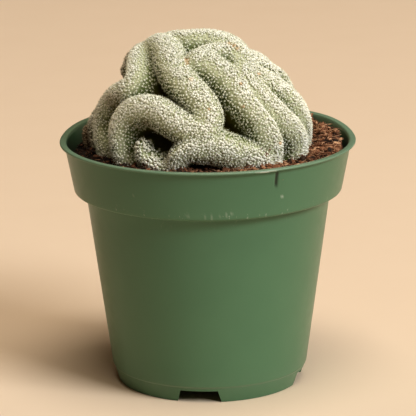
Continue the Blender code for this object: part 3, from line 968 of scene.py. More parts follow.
@dataclass
class Areoles:
    """Where the spine clusters stand on the folds.

    Args:
        places: Points on the flesh in metres (n, 3).
        normals: Unit vectors out of the flesh (n, 3).
        depth: Depth under the dome as a share of the core's depth (n,).
        young: How near the growing crest, from 1 on it to 0 down the flank (n,).
        fold: The fold each belongs to, as its number (n,).
        looks: The named values "age" and "stain" at each (n,).
    """

    places: Floats
    normals: Floats
    depth: Floats
    young: Floats
    fold: Ints
    looks: dict[str, Floats]

    def part(self, kept: Ints | NDArray[np.bool_]) -> "Areoles":
        """Some of the areoles, by index or by mask."""
        looks = {name: value[kept] for name, value in self.looks.items()}
        return Areoles(self.places[kept], self.normals[kept], self.depth[kept], self.young[kept],
                       self.fold[kept], looks)


@dataclass(frozen=True)
class Clump:
    """Bits of soil or cotton that cling together.

    Args:
        azimuth: The middle's azimuth.
        elevation: The middle's elevation.
        reach: How far they spread, in degrees.
        count: How many bits.
        size_mm: A bit's middling radius.
    """

    azimuth: float
    elevation: float
    reach: float
    count: int
    size_mm: float


def bits(draw: np.random.Generator, at: Floats, size: Floats) -> Surface:
    """Chips and lumps: twenty-sided forms stretched at random and knocked out of shape.

    Args:
        draw: The random source.
        at: Their middles in mm (n, 3).
        size: Their radii in mm (n,).

    Returns:
        The bits in one surface, each of twelve points.
    """
    gold = (1 + math.sqrt(5)) / 2
    shape = unit(np.array([(-1, gold, 0), (1, gold, 0), (-1, -gold, 0), (1, -gold, 0), (0, -1, gold),
                           (0, 1, gold), (0, -1, -gold), (0, 1, -gold), (gold, 0, -1), (gold, 0, 1),
                           (-gold, 0, -1), (-gold, 0, 1)]))
    faces = np.array([(0, 11, 5), (0, 5, 1), (0, 1, 7), (0, 7, 10), (0, 10, 11), (1, 5, 9), (5, 11, 4),
                      (11, 10, 2), (10, 7, 6), (7, 1, 8), (3, 9, 4), (3, 4, 2), (3, 2, 6), (3, 6, 8),
                      (3, 8, 9), (4, 9, 5), (2, 4, 11), (6, 2, 10), (8, 6, 7), (9, 8, 1)])
    count = len(at)
    shapes = shape * draw.uniform(0.6, 1.3, (count, 12, 1))
    longer, flatter = draw.uniform(0.9, 1.9, count), draw.uniform(0.35, 0.8, count)
    stretch = np.stack([size * longer, size, size * flatter], -1)
    tilt = unit(draw.normal(0, 0.5, (count, 3)) + [0, 0, 1])
    axes = Cactus.frames(tilt, draw.uniform(0, math.tau, count)) * stretch[:, :, None]
    return Surface.copies(shapes, [faces], at * MM, axes * MM)


@dataclass
class Cactus:
    """The crested cactus: flesh, tubercles, wool, spines, and the soil and cotton that cling to it.

    The areoles are scattered over the folds, never closer than their spacing, which is small at
    the crests where the plant grows and larger down the flanks.
    """

    form: FoldedDome
    soil_top_mm: float = 86.5
    foot_sunk_mm: float = 2.4
    crown_radius_mm: float = 12.0
    crown_tip_radius_mm: float = 8.0
    crown_depth_mm: float = 26.0
    highest: float = 89.6
    lowest: float = -19.0
    columns: int = 430
    rows: int = 126
    tries: int = 190000
    rounds: int = 6
    crest_spacing_mm: float = 0.66
    flank_spacing_mm: float = 0.90
    young_band_mm: tuple[float, float] = (0.8, 5.0)
    core_margin_mm: float = 0.3
    buried_mm: float = 0.8
    deep_bare: float = 0.96
    normal_step: float = 0.008
    tubercle_radius: float = 0.62
    tubercle_height_mm: float = 0.55
    tubercle_root: float = 0.9
    spines: int = 7
    spine_length_mm: tuple[float, float] = (0.55, 1.20)
    spine_width_mm: float = 0.105
    spine_lean: tuple[float, float] = (42.0, 82.0)
    spine_stray: float = 0.4
    spine_widths: tuple[float, float] = (0.85, 1.2)
    spine_seat: float = 0.8
    spine_tone: tuple[float, float] = (0.35, 0.25)
    young_shorter: float = 0.1
    young_lean: float = 14.0
    upright_share: float = 0.25
    sparse_depth: float = 0.62
    sparse_share: float = 0.45
    wool_radius_mm: float = 0.33
    wool_sizes: tuple[float, float] = (0.6, 1.4)
    wool_young: float = 0.7
    wool_deep: float = 0.5
    wool_flat: float = 0.75
    wool_seat: float = 0.92
    wool_depths: tuple[float, float] = (0.35, 0.8)
    debris: tuple[Clump, ...] = (
        Clump(-52, -9, 2.5, 16, 0.5), Clump(-31, -8, 2.5, 14, 0.45), Clump(-26, -9, 3.0, 16, 0.45),
        Clump(35, -1.5, 1.5, 5, 0.3), Clump(37.5, -4.5, 1.5, 7, 0.35), Clump(39.5, -1, 1.5, 5, 0.3),
        Clump(34.3, -10, 1.5, 5, 0.4), Clump(25.7, -10, 2.0, 8, 0.4))
    cotton: tuple[Clump, ...] = (
        Clump(50, -10, 3.5, 34, 0.3), Clump(60, -9.5, 4.5, 44, 0.3), Clump(68, -9, 3.5, 34, 0.3))
    cling_spread: float = 0.5
    cling_seat: float = 0.7
    cling_sunk_mm: float = 0.1
    cling_log_size: float = 0.35
    cling_tone: tuple[float, float] = (0.3, 0.75)
    seed: int = 23

    def flesh_surface(self) -> Surface:
        """The folded body: point(az, el) = centre + way times (dome - depth), flat below the soil.

        Below the soil the points keep their place in plan, and the foot closes with the root crown.

        Returns:
            The closed surface with the values "depth", "age" and "stain".
        """
        azimuth = np.arange(self.columns) * 360 / self.columns
        elevation = np.linspace(self.highest, self.lowest, self.rows)
        turn, rise = np.meshgrid(azimuth, elevation)
        ways = direction(turn.ravel(), rise.ravel())
        depth = self.form.drops(ways)[2]
        points = self.form.place(ways, depth)
        foot = (self.soil_top_mm - self.foot_sunk_mm) * MM
        points[:, 2] = np.maximum(points[:, 2], foot)
        ring = direction(azimuth, 0.0)
        crown = [ring * radius * MM + [0, 0, height] for radius, height in (
            (self.crown_radius_mm, foot), (self.crown_tip_radius_mm, foot - self.crown_depth_mm * MM))]
        pole_depth = self.form.drops(np.array([[0.0, 0.0, 1.0]]))[2]
        poles = [self.form.place(np.array([[0.0, 0.0, 1.0]]), pole_depth), [[0, 0, crown[1][0, 2]]]]
        rows = self.rows + len(crown)
        count = rows * self.columns
        faces = [grid_quads(rows, self.columns), fans(rows, self.columns, count, count + 1)]
        values = {"depth": depth / self.form.core_depth_mm, **self.looks(ways)}
        below = np.zeros(2 * self.columns + 2)
        values = {name: np.concatenate([value, below]) for name, value in values.items()}
        return Surface(np.vstack([points, *crown, *poles]), faces, values)

    def looks(self, ways: Floats) -> dict[str, Floats]:
        """The named values "age" and "stain" in directions from the dome's centre."""
        return {"age": self.form.patched(ways, self.form.old_growth),
                "stain": self.form.patched(ways, self.form.scars)}

    def spacing(self, young: Floats) -> Floats:
        """The least distance between areoles in mm, from the flank's to the crest's."""
        return self.flank_spacing_mm + (self.crest_spacing_mm - self.flank_spacing_mm) * young

    def areoles(self, draw: np.random.Generator) -> Areoles:
        """All areoles above the soil: random places on the folds, thinned to their spacing.

        Args:
            draw: The random source.

        Returns:
            The areoles.
        """
        rise = np.degrees(np.arcsin(draw.uniform(math.sin(math.radians(self.lowest)), 1, self.tries)))
        ways = direction(draw.uniform(0, 360, self.tries), rise)
        owner, reach, joined = self.form.drops(ways)
        places = self.form.place(ways, joined)
        young = 1 - smoothstep(*self.young_band_mm, reach)
        on_folds = joined < self.form.core_depth_mm - self.core_margin_mm
        kept = np.flatnonzero(on_folds & (places[:, 2] > (self.soil_top_mm - self.buried_mm) * MM))
        kept = kept[self.spread(places[kept], self.spacing(young[kept]) * MM)]
        deep = smoothstep(*self.form.bare_depths, joined[kept] / self.form.core_depth_mm)
        bare = np.maximum(self.form.patched(ways[kept], self.form.bare), self.deep_bare * deep)
        kept = kept[draw.uniform(0, 1, len(kept)) > bare]
        ways, joined = ways[kept], joined[kept]
        return Areoles(places[kept], self.normals(ways, joined), joined / self.form.core_depth_mm,
                       young[kept], owner[kept], self.looks(ways))

    def normals(self, ways: Floats, joined: Floats) -> Floats:
        """Unit vectors out of the flesh: the cross product of two small steps over the surface.

        Args:
            ways: Unit vectors.
            joined: The joined depth there in mm.

        Returns:
            The normals.
        """
        flat = unit(np.cross(ways, [0.0, 0.0, 1.0]))
        other = np.cross(ways, flat)
        here = self.form.place(ways, joined)
        legs = []
        for way in (flat, other):
            moved = unit(ways + way * self.normal_step)
            legs.append(self.form.place(moved, self.form.drops(moved)[2]) - here)
        normal = unit(np.cross(*legs))
        return normal * np.sign((normal * ways).sum(1))[:, None]

    @staticmethod
    def neighbours(points: Floats, cell_size: float) -> tuple[Ints, Ints]:
        """Pairs of points in the same or in touching cells of a cubic grid.

        Args:
            points: The points (n, 3).
            cell_size: The side of a cell.

        Returns:
            The indices of the pairs' first and second points, the second before the first in order.
        """
        cell = np.floor(points / cell_size).astype(np.int64)
        strides = np.array([1, 1 << 20, 1 << 40])
        key = (cell - cell.min(0) + 1) @ strides
        order = np.argsort(key, kind="stable")
        ranked = key[order]
        firsts, seconds = [], []
        for shift in (np.array(list(np.ndindex(3, 3, 3))) - 1) @ strides:
            start = np.searchsorted(ranked, key + shift, "left")
            count = np.searchsorted(ranked, key + shift, "right") - start
            first = np.repeat(np.arange(len(points)), count)
            step = np.arange(len(first)) - np.repeat(np.cumsum(count) - count, count)
            second = order[np.repeat(start, count) + step]
            earlier = second < first
            firsts.append(first[earlier])
            seconds.append(second[earlier])
        return np.concatenate(firsts), np.concatenate(seconds)

    def spread(self, points: Floats, apart: Floats) -> Ints:
        """Thin a crowd to points no closer than their spacing.

        In each round a point that has no earlier one close to it is chosen, and all that are close
        to a chosen one leave.

        Args:
            points: The points (n, 3).
            apart: The least spacing at each (n,).

        Returns:
            The indices of the points that stay.
        """
        first, second = self.neighbours(points, float(apart.max()))
        least = np.minimum(apart[first], apart[second])
        close = np.linalg.norm(points[first] - points[second], axis=1) < least
        first, second = first[close], second[close]
        chosen = np.zeros(len(points), bool)
        waiting = np.ones(len(points), bool)
        for _ in range(self.rounds):
            later = np.zeros(len(points), bool)
            later[first[waiting[first] & waiting[second]]] = True
            fresh = waiting & ~later
            chosen |= fresh
            waiting &= ~fresh
            waiting[first[fresh[second]]] = False
            waiting[second[fresh[first]]] = False
        return np.flatnonzero(chosen)

    @staticmethod
    def frames(normals: Floats, turn: Floats) -> Floats:
        """Three axes for each normal: two across it, turned about it, and the normal itself.

        Args:
            normals: Unit vectors (n, 3).
            turn: Angles about them in radians (n,).

        Returns:
            The axes as rows (n, 3, 3).
        """
        helper = np.where(np.abs(normals[:, 2:]) < 0.9, [[0.0, 0.0, 1.0]], [[1.0, 0.0, 0.0]])
        first = unit(np.cross(helper, normals))
        second = np.cross(normals, first)
        across = np.cos(turn)[:, None] * first + np.sin(turn)[:, None] * second
        return np.stack([across, np.cross(normals, across), normals], 1)

    def tubercle_surface(self, areoles: Areoles, draw: np.random.Generator) -> Surface:
        """Six-sided cones, one under each areole, sunk into the flesh.

        Args:
            areoles: The areoles.
            draw: The random source.

        Returns:
            The cones in one surface.
        """
        turn = np.arange(6) * math.pi / 3
        root = np.full(6, -self.tubercle_root)
        shape = np.array([*np.stack([np.cos(turn), np.sin(turn), root], -1), (0, 0, 1.0)])
        sides = np.stack([np.arange(6), (np.arange(6) + 1) % 6, np.full(6, 6)], -1)
        base = np.arange(6)[::-1][None]
        count = len(areoles.places)
        frames = self.frames(areoles.normals, draw.uniform(0, math.tau, count))
        across = self.spacing(areoles.young) * self.tubercle_radius
        size = np.stack([across, across, np.full(count, self.tubercle_height_mm)], -1)
        made = Surface.copies(shape, [sides, base], areoles.places, frames * size[:, :, None] * MM)
        made.values = {name: np.repeat(value, 7) for name, value in
                       {"depth": areoles.depth, **areoles.looks}.items()}
        return made

    def wool_surface(self, areoles: Areoles, draw: np.random.Generator) -> Surface:
        """Small flattened tufts, eight faces each, on the tips of the tubercles.

        Args:
            areoles: The areoles.
            draw: The random source.

        Returns:
            The tufts in one surface.
        """
        shape = np.array([(1, 0, 0), (0, 1, 0), (-1, 0, 0), (0, -1, 0), (0, 0, 1), (0, 0, -1)], float)
        ring = np.arange(4)
        after = (ring + 1) % 4
        faces = np.vstack([np.stack([ring, after, np.full(4, 4)], -1),
                           np.stack([after, ring, np.full(4, 5)], -1)])
        count = len(areoles.places)
        frames = self.frames(areoles.normals, draw.uniform(0, math.tau, count))
        radius = self.wool_radius_mm * (1 + self.wool_young * areoles.young)
        radius = radius * draw.uniform(*self.wool_sizes, count)
        radius = radius * (1 - self.wool_deep * smoothstep(*self.wool_depths, areoles.depth))
        size = np.stack([radius, radius, self.wool_flat * radius], -1)
        at = areoles.places + areoles.normals * self.wool_seat * self.tubercle_height_mm * MM
        made = Surface.copies(shape, [faces], at, frames * size[:, :, None] * MM)
        made.values = {name: np.repeat(value, 6) for name, value in areoles.looks.items()}
        return made

    def spine_surface(self, areoles: Areoles, draw: np.random.Generator) -> Surface:
        """Three-sided needles, fanned out round each areole.

        A needle's way is cos(lean) normal + sin(lean) (cos(turn) across + sin(turn) over), and its
        root is a triangle across that way, just inside the tubercle's tip.

        Args:
            areoles: The areoles.
            draw: The random source.

        Returns:
            The needles in one surface, with the values "tone", "age" and "stain".
        """
        count = len(areoles.places)
        young = areoles.young
        fewer = areoles.depth > self.sparse_depth
        number = self.spines
        turn = (np.arange(number) * math.tau / number + draw.uniform(0, math.tau, (count, 1))
                + draw.uniform(-self.spine_stray, self.spine_stray, (count, number)))
        lean = np.radians(draw.uniform(*self.spine_lean, (count, number)) - self.young_lean * young[:, None])
        lean[:, 0] *= self.upright_share
        frames = self.frames(areoles.normals, np.zeros(count))
        ways = (np.cos(lean)[..., None] * frames[:, None, 2]
                + np.sin(lean)[..., None] * (np.cos(turn)[..., None] * frames[:, None, 0]
                                             + np.sin(turn)[..., None] * frames[:, None, 1]))
        shorter = 1 - self.young_shorter * young[:, None]
        length = draw.uniform(*self.spine_length_mm, (count, number)) * shorter
        width = self.spine_width_mm * draw.uniform(*self.spine_widths, (count, number))
        share = np.where(fewer, self.sparse_share, 1.0)[:, None]
        shown = (draw.uniform(0, 1, (count, number)) < share).ravel()
        corner = np.arange(3) * math.tau / 3
        shape = np.array([*np.stack([np.cos(corner), np.sin(corner), np.zeros(3)], -1), (0, 0, 1.0)])
        faces = [np.array([(0, 1, 3), (1, 2, 3), (2, 0, 3), (2, 1, 0)])]
        seat = self.spine_seat * self.tubercle_height_mm * MM
        roots = np.repeat(areoles.places + areoles.normals * seat, number, 0)
        axes = self.frames(ways.reshape(-1, 3), draw.uniform(0, math.tau, count * number))
        size = np.stack([width, width, length], -1).reshape(-1, 3)
        axes = axes * size[:, :, None] * MM
        made = Surface.copies(shape, faces, roots[shown], axes[shown])
        tone = np.clip(draw.normal(*self.spine_tone, count * number), 0, 1)
        made.values = {name: np.repeat(np.repeat(value, number)[shown], 4)
                       for name, value in areoles.looks.items()}
        made.values["tone"] = np.repeat(tone[shown], 4)
        return made

    def clinging(self, clumps: tuple[Clump, ...], draw: np.random.Generator) -> Surface:
        """Bits in clumps, set on the flesh where they cling and no lower than the soil.

        Args:
            clumps: The clumps.
            draw: The random source.

        Returns:
            The bits in one surface, with the values "tone", "age" and "stain".
        """
        rows = np.repeat(np.array([(c.azimuth, c.elevation, c.reach, c.size_mm) for c in clumps]),
                         [clump.count for clump in clumps], 0)
        offset = draw.normal(0, self.cling_spread, (len(rows), 2)) * rows[:, 2:3]
        ways = direction(rows[:, 0] + offset[:, 0], rows[:, 1] + offset[:, 1])
        at = self.form.place(ways, self.form.drops(ways)[2]) / MM
        at = at + ways * (self.cling_seat * self.tubercle_height_mm)
        at[:, 2] = np.maximum(at[:, 2], self.soil_top_mm - self.cling_sunk_mm)
        made = bits(draw, at, rows[:, 3] * np.exp(draw.normal(0, self.cling_log_size, len(rows))))
        tone = np.repeat(draw.uniform(*self.cling_tone, len(rows)), 12)
        made.values = {"tone": tone, "age": np.zeros(len(tone)), "stain": np.zeros(len(tone))}
        return made

    def build(self) -> None:
        """Build the flesh, its tubercles and wool, each fold's spines, and what clings to the foot."""
        draw = np.random.default_rng(self.seed)
        flesh, bristle, wool = Flesh().build(), Bristle().build(), Wool().build()
        body = self.flesh_surface().build("cactus_flesh_body", flesh, Slot.CACTUS)
        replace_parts(body, "cactus")
        found = self.areoles(draw)
        log.info("areoles: %d", len(found.places))
        self.tubercle_surface(found, draw).build("tubercles", flesh, Slot.CACTUS, smooth=False)
        self.wool_surface(found, draw).build("areole_wool", wool, Slot.CACTUS)
        for number, name in enumerate(FOLDS):
            part = found.part(found.fold == number)
            self.spine_surface(part, draw).build(f"spines_{name}", bristle, Slot.CACTUS, smooth=False)
        self.clinging(self.debris, draw).build("clinging_soil", Coir().build(), Slot.SOIL, smooth=False)
        self.clinging(self.cotton, draw).build("foot_wool", wool, Slot.CACTUS, smooth=False)


@dataclass(frozen=True)
class Mark:
    """A small mark on the outside of the pot.

    Args:
        azimuth: Its middle's azimuth.
        height_mm: Its middle's height.
        half_width_mm: Half its width round the pot.
        half_height_mm: Half its height.
        strength: How strong it is, from 0 to 1.
    """

    azimuth: float
    height_mm: float
    half_width_mm: float
    half_height_mm: float
    strength: float

    def share(self, turn: Floats, points: Floats) -> Floats:
        """The mark's strength at points of the wall: the fourth-power mean of the two distances, eased.

        Args:
            turn: The points' azimuths (n,).
            points: The points in mm (n, 3).

        Returns:
            Values from 0 to 1 (n,).
        """
        radius = np.hypot(points[:, 0], points[:, 1])
        across = np.radians((turn - self.azimuth + 180) % 360 - 180) * radius / self.half_width_mm
        up = (points[:, 2] - self.height_mm) / self.half_height_mm
        return self.strength * (1 - smoothstep(0.7, 1.3, (across**4 + up**4) ** 0.25))


@dataclass
class Pot:
    """The nursery pot: a turned wall with a lip, a stepped collar, foot notches and drain holes."""

    wall_mm: float = 0.9
    lip_inner_mm: float = 51.8
    lip_depth_mm: float = 0.9
    collar_top_mm: float = 52.3
    collar_foot_mm: float = 48.95
    collar_foot_height_mm: float = 71.5
    body_top_mm: float = 44.7
    body_foot_mm: float = 35.9
    body_foot_height_mm: float = 6.2
    foot_step_mm: float = 0.5
    foot_mm: float = 33.8
    foot_width_mm: float = 1.2
    floor_under_mm: float = 4.0
    floor_top_mm: float = 5.2
    notches: tuple[float, ...] = (-6.6, 77.5, 174.4, 264.4)
    notch_height_mm: float = 4.5
    notch_widths_mm: tuple[float, float] = (16.4, 13.6)
    notch_reach_mm: float = 5.0
    drains: tuple[float, ...] = (-5.6, 84.4, 174.4, 264.4)
    drain_mm: tuple[float, float] = (4.0, 25.0)
    drain_span_mm: tuple[float, float] = (2.0, 8.0)
    back_rise_mm: float = 1.5
    groove_depth_mm: float = 0.35
    # The groove sinks into the wall and is darkened with painted shade.
    grooves: tuple[Mark, ...] = (Mark(27.8, 85.9, 0.62, 2.9, 1.0),)
    scuffs: tuple[Mark, ...] = (
        Mark(21.5, 89.7, 2.0, 0.7, 0.9), Mark(25.0, 89.8, 1.6, 0.5, 0.7), Mark(19.0, 89.8, 1.2, 0.5, 0.6),
        Mark(-8.1, 90.0, 0.6, 0.4, 0.4), Mark(31.2, 79.0, 0.55, 0.55, 0.55),
        Mark(-31.4, 79.9, 0.4, 0.5, 0.18), Mark(-8.3, 73.4, 0.36, 0.8, 0.20),
        Mark(-1.4, 73.2, 0.36, 0.9, 0.24), Mark(1.4, 73.0, 0.36, 1.1, 0.28), Mark(7.2, 73.6, 0.36, 0.9, 0.30),
        Mark(9.4, 74.0, 0.5, 0.6, 0.30), Mark(4.8, 73.5, 0.36, 0.6, 0.18))
    # A painted highlight: a pale line along the edge of the foot's step.
    foot_highlight_mm: tuple[float, float] = (5.95, 0.4)
    foot_highlight_strength: float = 0.16
    edge_band_mm: tuple[float, float] = (1.2, 1.8)
    edge_wear: tuple[float, float] = (0.35, 0.65)
    edge_reach: float = 28.0
    # The lip's top gets a painted highlight all round, and wear streaks.
    rim_band_mm: tuple[float, float] = (0.9, 0.2)
    rim_highlight: float = 0.2
    rim_streaks: float = 0.8
    # The band below the lip where the inner wall turns to dust and painted shade.
    dust_band_mm: tuple[float, float] = (1.9, 0.5)
    soft_from_mm: float = 10.0
    oval_share: float = 0.0016
    oval_turn: float = 50.0
    back_band: tuple[float, float] = (0.0, 0.6)
    columns: int = 540
    row_step_mm: float = 6.0
    collar_step_mm: float = 0.9

    def outline(self, lip: float, height: float) -> Floats:
        """The closed profile from the floor's middle up the inside, over the lip and down to the foot.

        Args:
            lip: The lip's radius in mm.
            height: The pot's height in mm.

        Returns:
            Points (radius, height) in mm, with the straight runs divided into short steps.
        """
        under = height - self.lip_depth_mm
        wall = self.wall_mm
        corners = rounded([
            (0.0, self.floor_top_mm, 0), (self.body_foot_mm - 1.0, self.floor_top_mm, 1.0),
            (self.body_top_mm - wall, self.collar_foot_height_mm, 0.4),
            (self.collar_foot_mm - 1.0, self.collar_foot_height_mm + 1.0, 0.6),
            (self.lip_inner_mm - 0.4, under, 0.5), (self.lip_inner_mm, height, 0.45),
            (lip, height, 0.7), (lip, under, 0.5), (self.collar_top_mm, under, 0.3),
            (self.collar_foot_mm, self.collar_foot_height_mm + 0.2, 0.7),
            (self.body_top_mm, self.collar_foot_height_mm - 0.9, 0.5),
            (self.body_foot_mm, self.body_foot_height_mm, 0.35),
            (self.body_foot_mm - self.foot_step_mm, self.body_foot_height_mm - self.foot_step_mm, 0.25),
            (self.foot_mm, 0.0, 0.3), (self.foot_mm - self.foot_width_mm, 0.0, 0.3),
            (self.foot_mm - self.foot_width_mm, self.floor_under_mm, 0.3), (0.0, self.floor_under_mm, 0)])
        outside = np.arange(len(corners)) >= np.argmax(corners[:, 0])
        on_collar = outside & (corners[:, 1] > self.collar_foot_height_mm + 2)
        pieces = []
        for start, stop, fine in zip(corners, corners[1:], on_collar):
            step = self.collar_step_mm if fine else self.row_step_mm
            steps = max(1, int(np.linalg.norm(stop - start) / step))
            pieces.append(start + (stop - start) * np.linspace(0, 1, steps, endpoint=False)[:, None])
        return np.vstack([*pieces, corners[-1:]])

    def surface(self, lip: float, height: float) -> Surface:
        """The turned wall: point(az, row) = (radius sin az, -radius cos az, height), barely oval.

        The soft rim rises a little at the back, by a smoothstep of the cosine to the back.

        Args:
            lip: The lip's radius in mm.
            height: The pot's height in mm.

        Returns:
            The closed surface with the values "wear", "mark" (scuffs and painted highlights), "groove" (with
            painted shade) and "dust" (with painted shade).
        """
        profile = self.outline(lip, height)[1:-1]
        azimuth = np.arange(self.columns) * 360 / self.columns
        turn, radius = np.meshgrid(azimuth, profile[:, 0])
        level = np.broadcast_to(profile[:, 1:], turn.shape)
        soft = smoothstep(self.soft_from_mm, height, level)
        oval = 1 - self.oval_share * soft * (0.5 - 0.5 * np.cos(np.radians(2 * turn + self.oval_turn)))
        points = direction(turn.ravel(), 0.0) * (radius * oval).ravel()[:, None]
        points[:, 2] = level.ravel()
        rows = len(profile)
        count = rows * self.columns
        poles = [(0, 0, self.floor_top_mm), (0, 0, self.floor_under_mm)]
        faces = [grid_quads(rows, self.columns), fans(rows, self.columns, count, count + 1)]
        inside = np.repeat(np.arange(rows) < np.argmax(profile[:, 0]), self.columns)
        turn = turn.ravel()
        # The groove's share sinks the wall and carries its painted shade.
        groove_and_shade, scuff = (np.where(inside, 0.0, np.max([one.share(turn, points) for one in marks], 0))
                         for marks in (self.grooves, self.scuffs))
        points[:, :2] *= (1 - groove_and_shade * self.groove_depth_mm / self.collar_top_mm)[:, None]
        behind = smoothstep(*self.back_band, -np.cos(np.radians(turn)))
        rise = behind * smoothstep(self.collar_foot_height_mm, height, points[:, 2])
        points[:, 2] += self.back_rise_mm * rise
        dust_and_shade, wear, mark_and_highlight = self.weathering(turn, points[:, 2], inside, scuff, height)
        values = {"wear": np.append(wear, [0, 0]), "mark_and_highlight": np.append(mark_and_highlight, [0, 0]),
                  "groove_and_shade": np.append(groove_and_shade, [0, 0]), "dust_and_shade": np.append(dust_and_shade, [1, 1])}
        return Surface(np.vstack([points, poles]) * MM, faces, values)

    def weathering(self, turn: Floats, level: Floats, inside: NDArray[np.bool_], scuff: Floats,
                   height: float) -> tuple[Floats, Floats, Floats]:
        """Dust with painted shade inside, streaks along the edges, marks, and painted highlights on the lip's
        top and the foot's step.

        The collar's edge wears as exp(-(distance / spread)^2) of the height and of the azimuth, so
        the most at the front, and a painted highlight along the foot's step shows by the same bell.

        Args:
            turn: The points' azimuths (n,).
            level: Their heights in mm (n,).
            inside: Which of them are inside the pot (n,).
            scuff: The scuffs' strength at them (n,).
            height: The pot's height in mm.

        Returns:
            The values "dust" (with painted shade), "wear" and "mark" (with painted highlights) from 0 to 1,
            each (n,).
        """
        # Painted shade: the inner wall is darkened below the lip band.
        dust_start, dust_stop = self.dust_band_mm
        dust_and_shade = np.where(inside, 1 - smoothstep(height - dust_start, height - dust_stop, level), 0.0)
        front = np.exp(-(((turn + 180) % 360 - 180) / self.edge_reach) ** 2)
        above, spread = self.edge_band_mm
        edge = np.exp(-((level - self.collar_foot_height_mm - above) / spread) ** 2)
        all_round, more_in_front = self.edge_wear
        edge = edge * (all_round + more_in_front * front)
        rim_start, rim_stop = self.rim_band_mm
        rim = smoothstep(height - rim_start, height - rim_stop, level)
        wear = np.where(inside, 0.0, np.maximum(edge, self.rim_streaks * rim))
        # Painted highlights: a pale line along the foot's step, and a pale band all round the lip's top.
        middle, spread = self.foot_highlight_mm
        line = self.foot_highlight_strength * np.exp(-((level - middle) / spread) ** 2)
        mark_and_highlight = np.maximum(np.maximum(scuff, np.where(inside, 0.0, line)), self.rim_highlight * rim)
        return dust_and_shade, wear, mark_and_highlight

    def cutters(self, home: bpy.types.Collection) -> None:
        """The blocks and rods that open the foot's notches and the drain holes.

        Args:
            home: The collection they go in.
        """
        low, high = self.notch_widths_mm
        box = np.array([(x, y, z) for z in (0, 1) for y in (-1, 1) for x in (-1, 1)], float)
        half = np.where(box[:, 2] == 0, low, high) / 2
        block = np.stack([box[:, 0] * half, box[:, 1] * self.notch_reach_mm - self.foot_mm,
                          np.where(box[:, 2] == 0, -1.0, self.notch_height_mm)], -1)
        quads = [(0, 2, 3, 1), (4, 5, 7, 6), (0, 1, 5, 4), (1, 3, 7, 5), (3, 2, 6, 7), (2, 0, 4, 6)]
        radius, place = self.drain_mm
        count = 32
        turn = np.arange(count) * math.tau / count
        ring = np.stack([radius * np.cos(turn), radius * np.sin(turn) - place, np.zeros(count)], -1)
        rod = np.vstack([ring + [0, 0, level] for level in self.drain_span_mm])
        side = [(k, (k + 1) % count, count + (k + 1) % count, count + k) for k in range(count)]
        caps = [tuple(range(count))[::-1], tuple(range(count, 2 * count))]
        for name, points, faces, azimuths in (("notch", block, quads, self.notches),
                                              ("drain", rod, side + caps, self.drains)):
            for azimuth in azimuths:
                mesh = bpy.data.meshes.new(f"{name}_cutter")
                mesh.from_pydata((points * MM).tolist(), [], faces)
                mesh.transform(Matrix.Rotation(math.radians(azimuth), 4, "Z"))
                home.objects.link(bpy.data.objects.new(mesh.name, mesh))

    def build(self) -> None:
        """Build the pot with its openings in place of the plain one."""
        low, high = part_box("pot")
        finish = PotPlastic().build()
        pot = self.surface((high.x - low.x) / 2 / MM, high.z / MM).build("nursery_pot", finish, Slot.POT)
        home = bpy.data.collections.new("cutters")
        bpy.context.scene.collection.children.link(home)
        self.cutters(home)
        cut = pot.modifiers.new("openings", "BOOLEAN")
        cut.operation = "DIFFERENCE"
        cut.operand_type = "COLLECTION"
        cut.collection = home
        graph = bpy.context.evaluated_depsgraph_get()
        mesh = bpy.data.meshes.new_from_object(pot.evaluated_get(graph))
        pot.modifiers.clear()
        pot.data = mesh
        mesh.set_sharp_from_angle(angle=math.radians(32))
        for cutter in list(home.objects):
            bpy.data.objects.remove(cutter, do_unlink=True)
        bpy.data.collections.remove(home)
        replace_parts(pot, "pot")


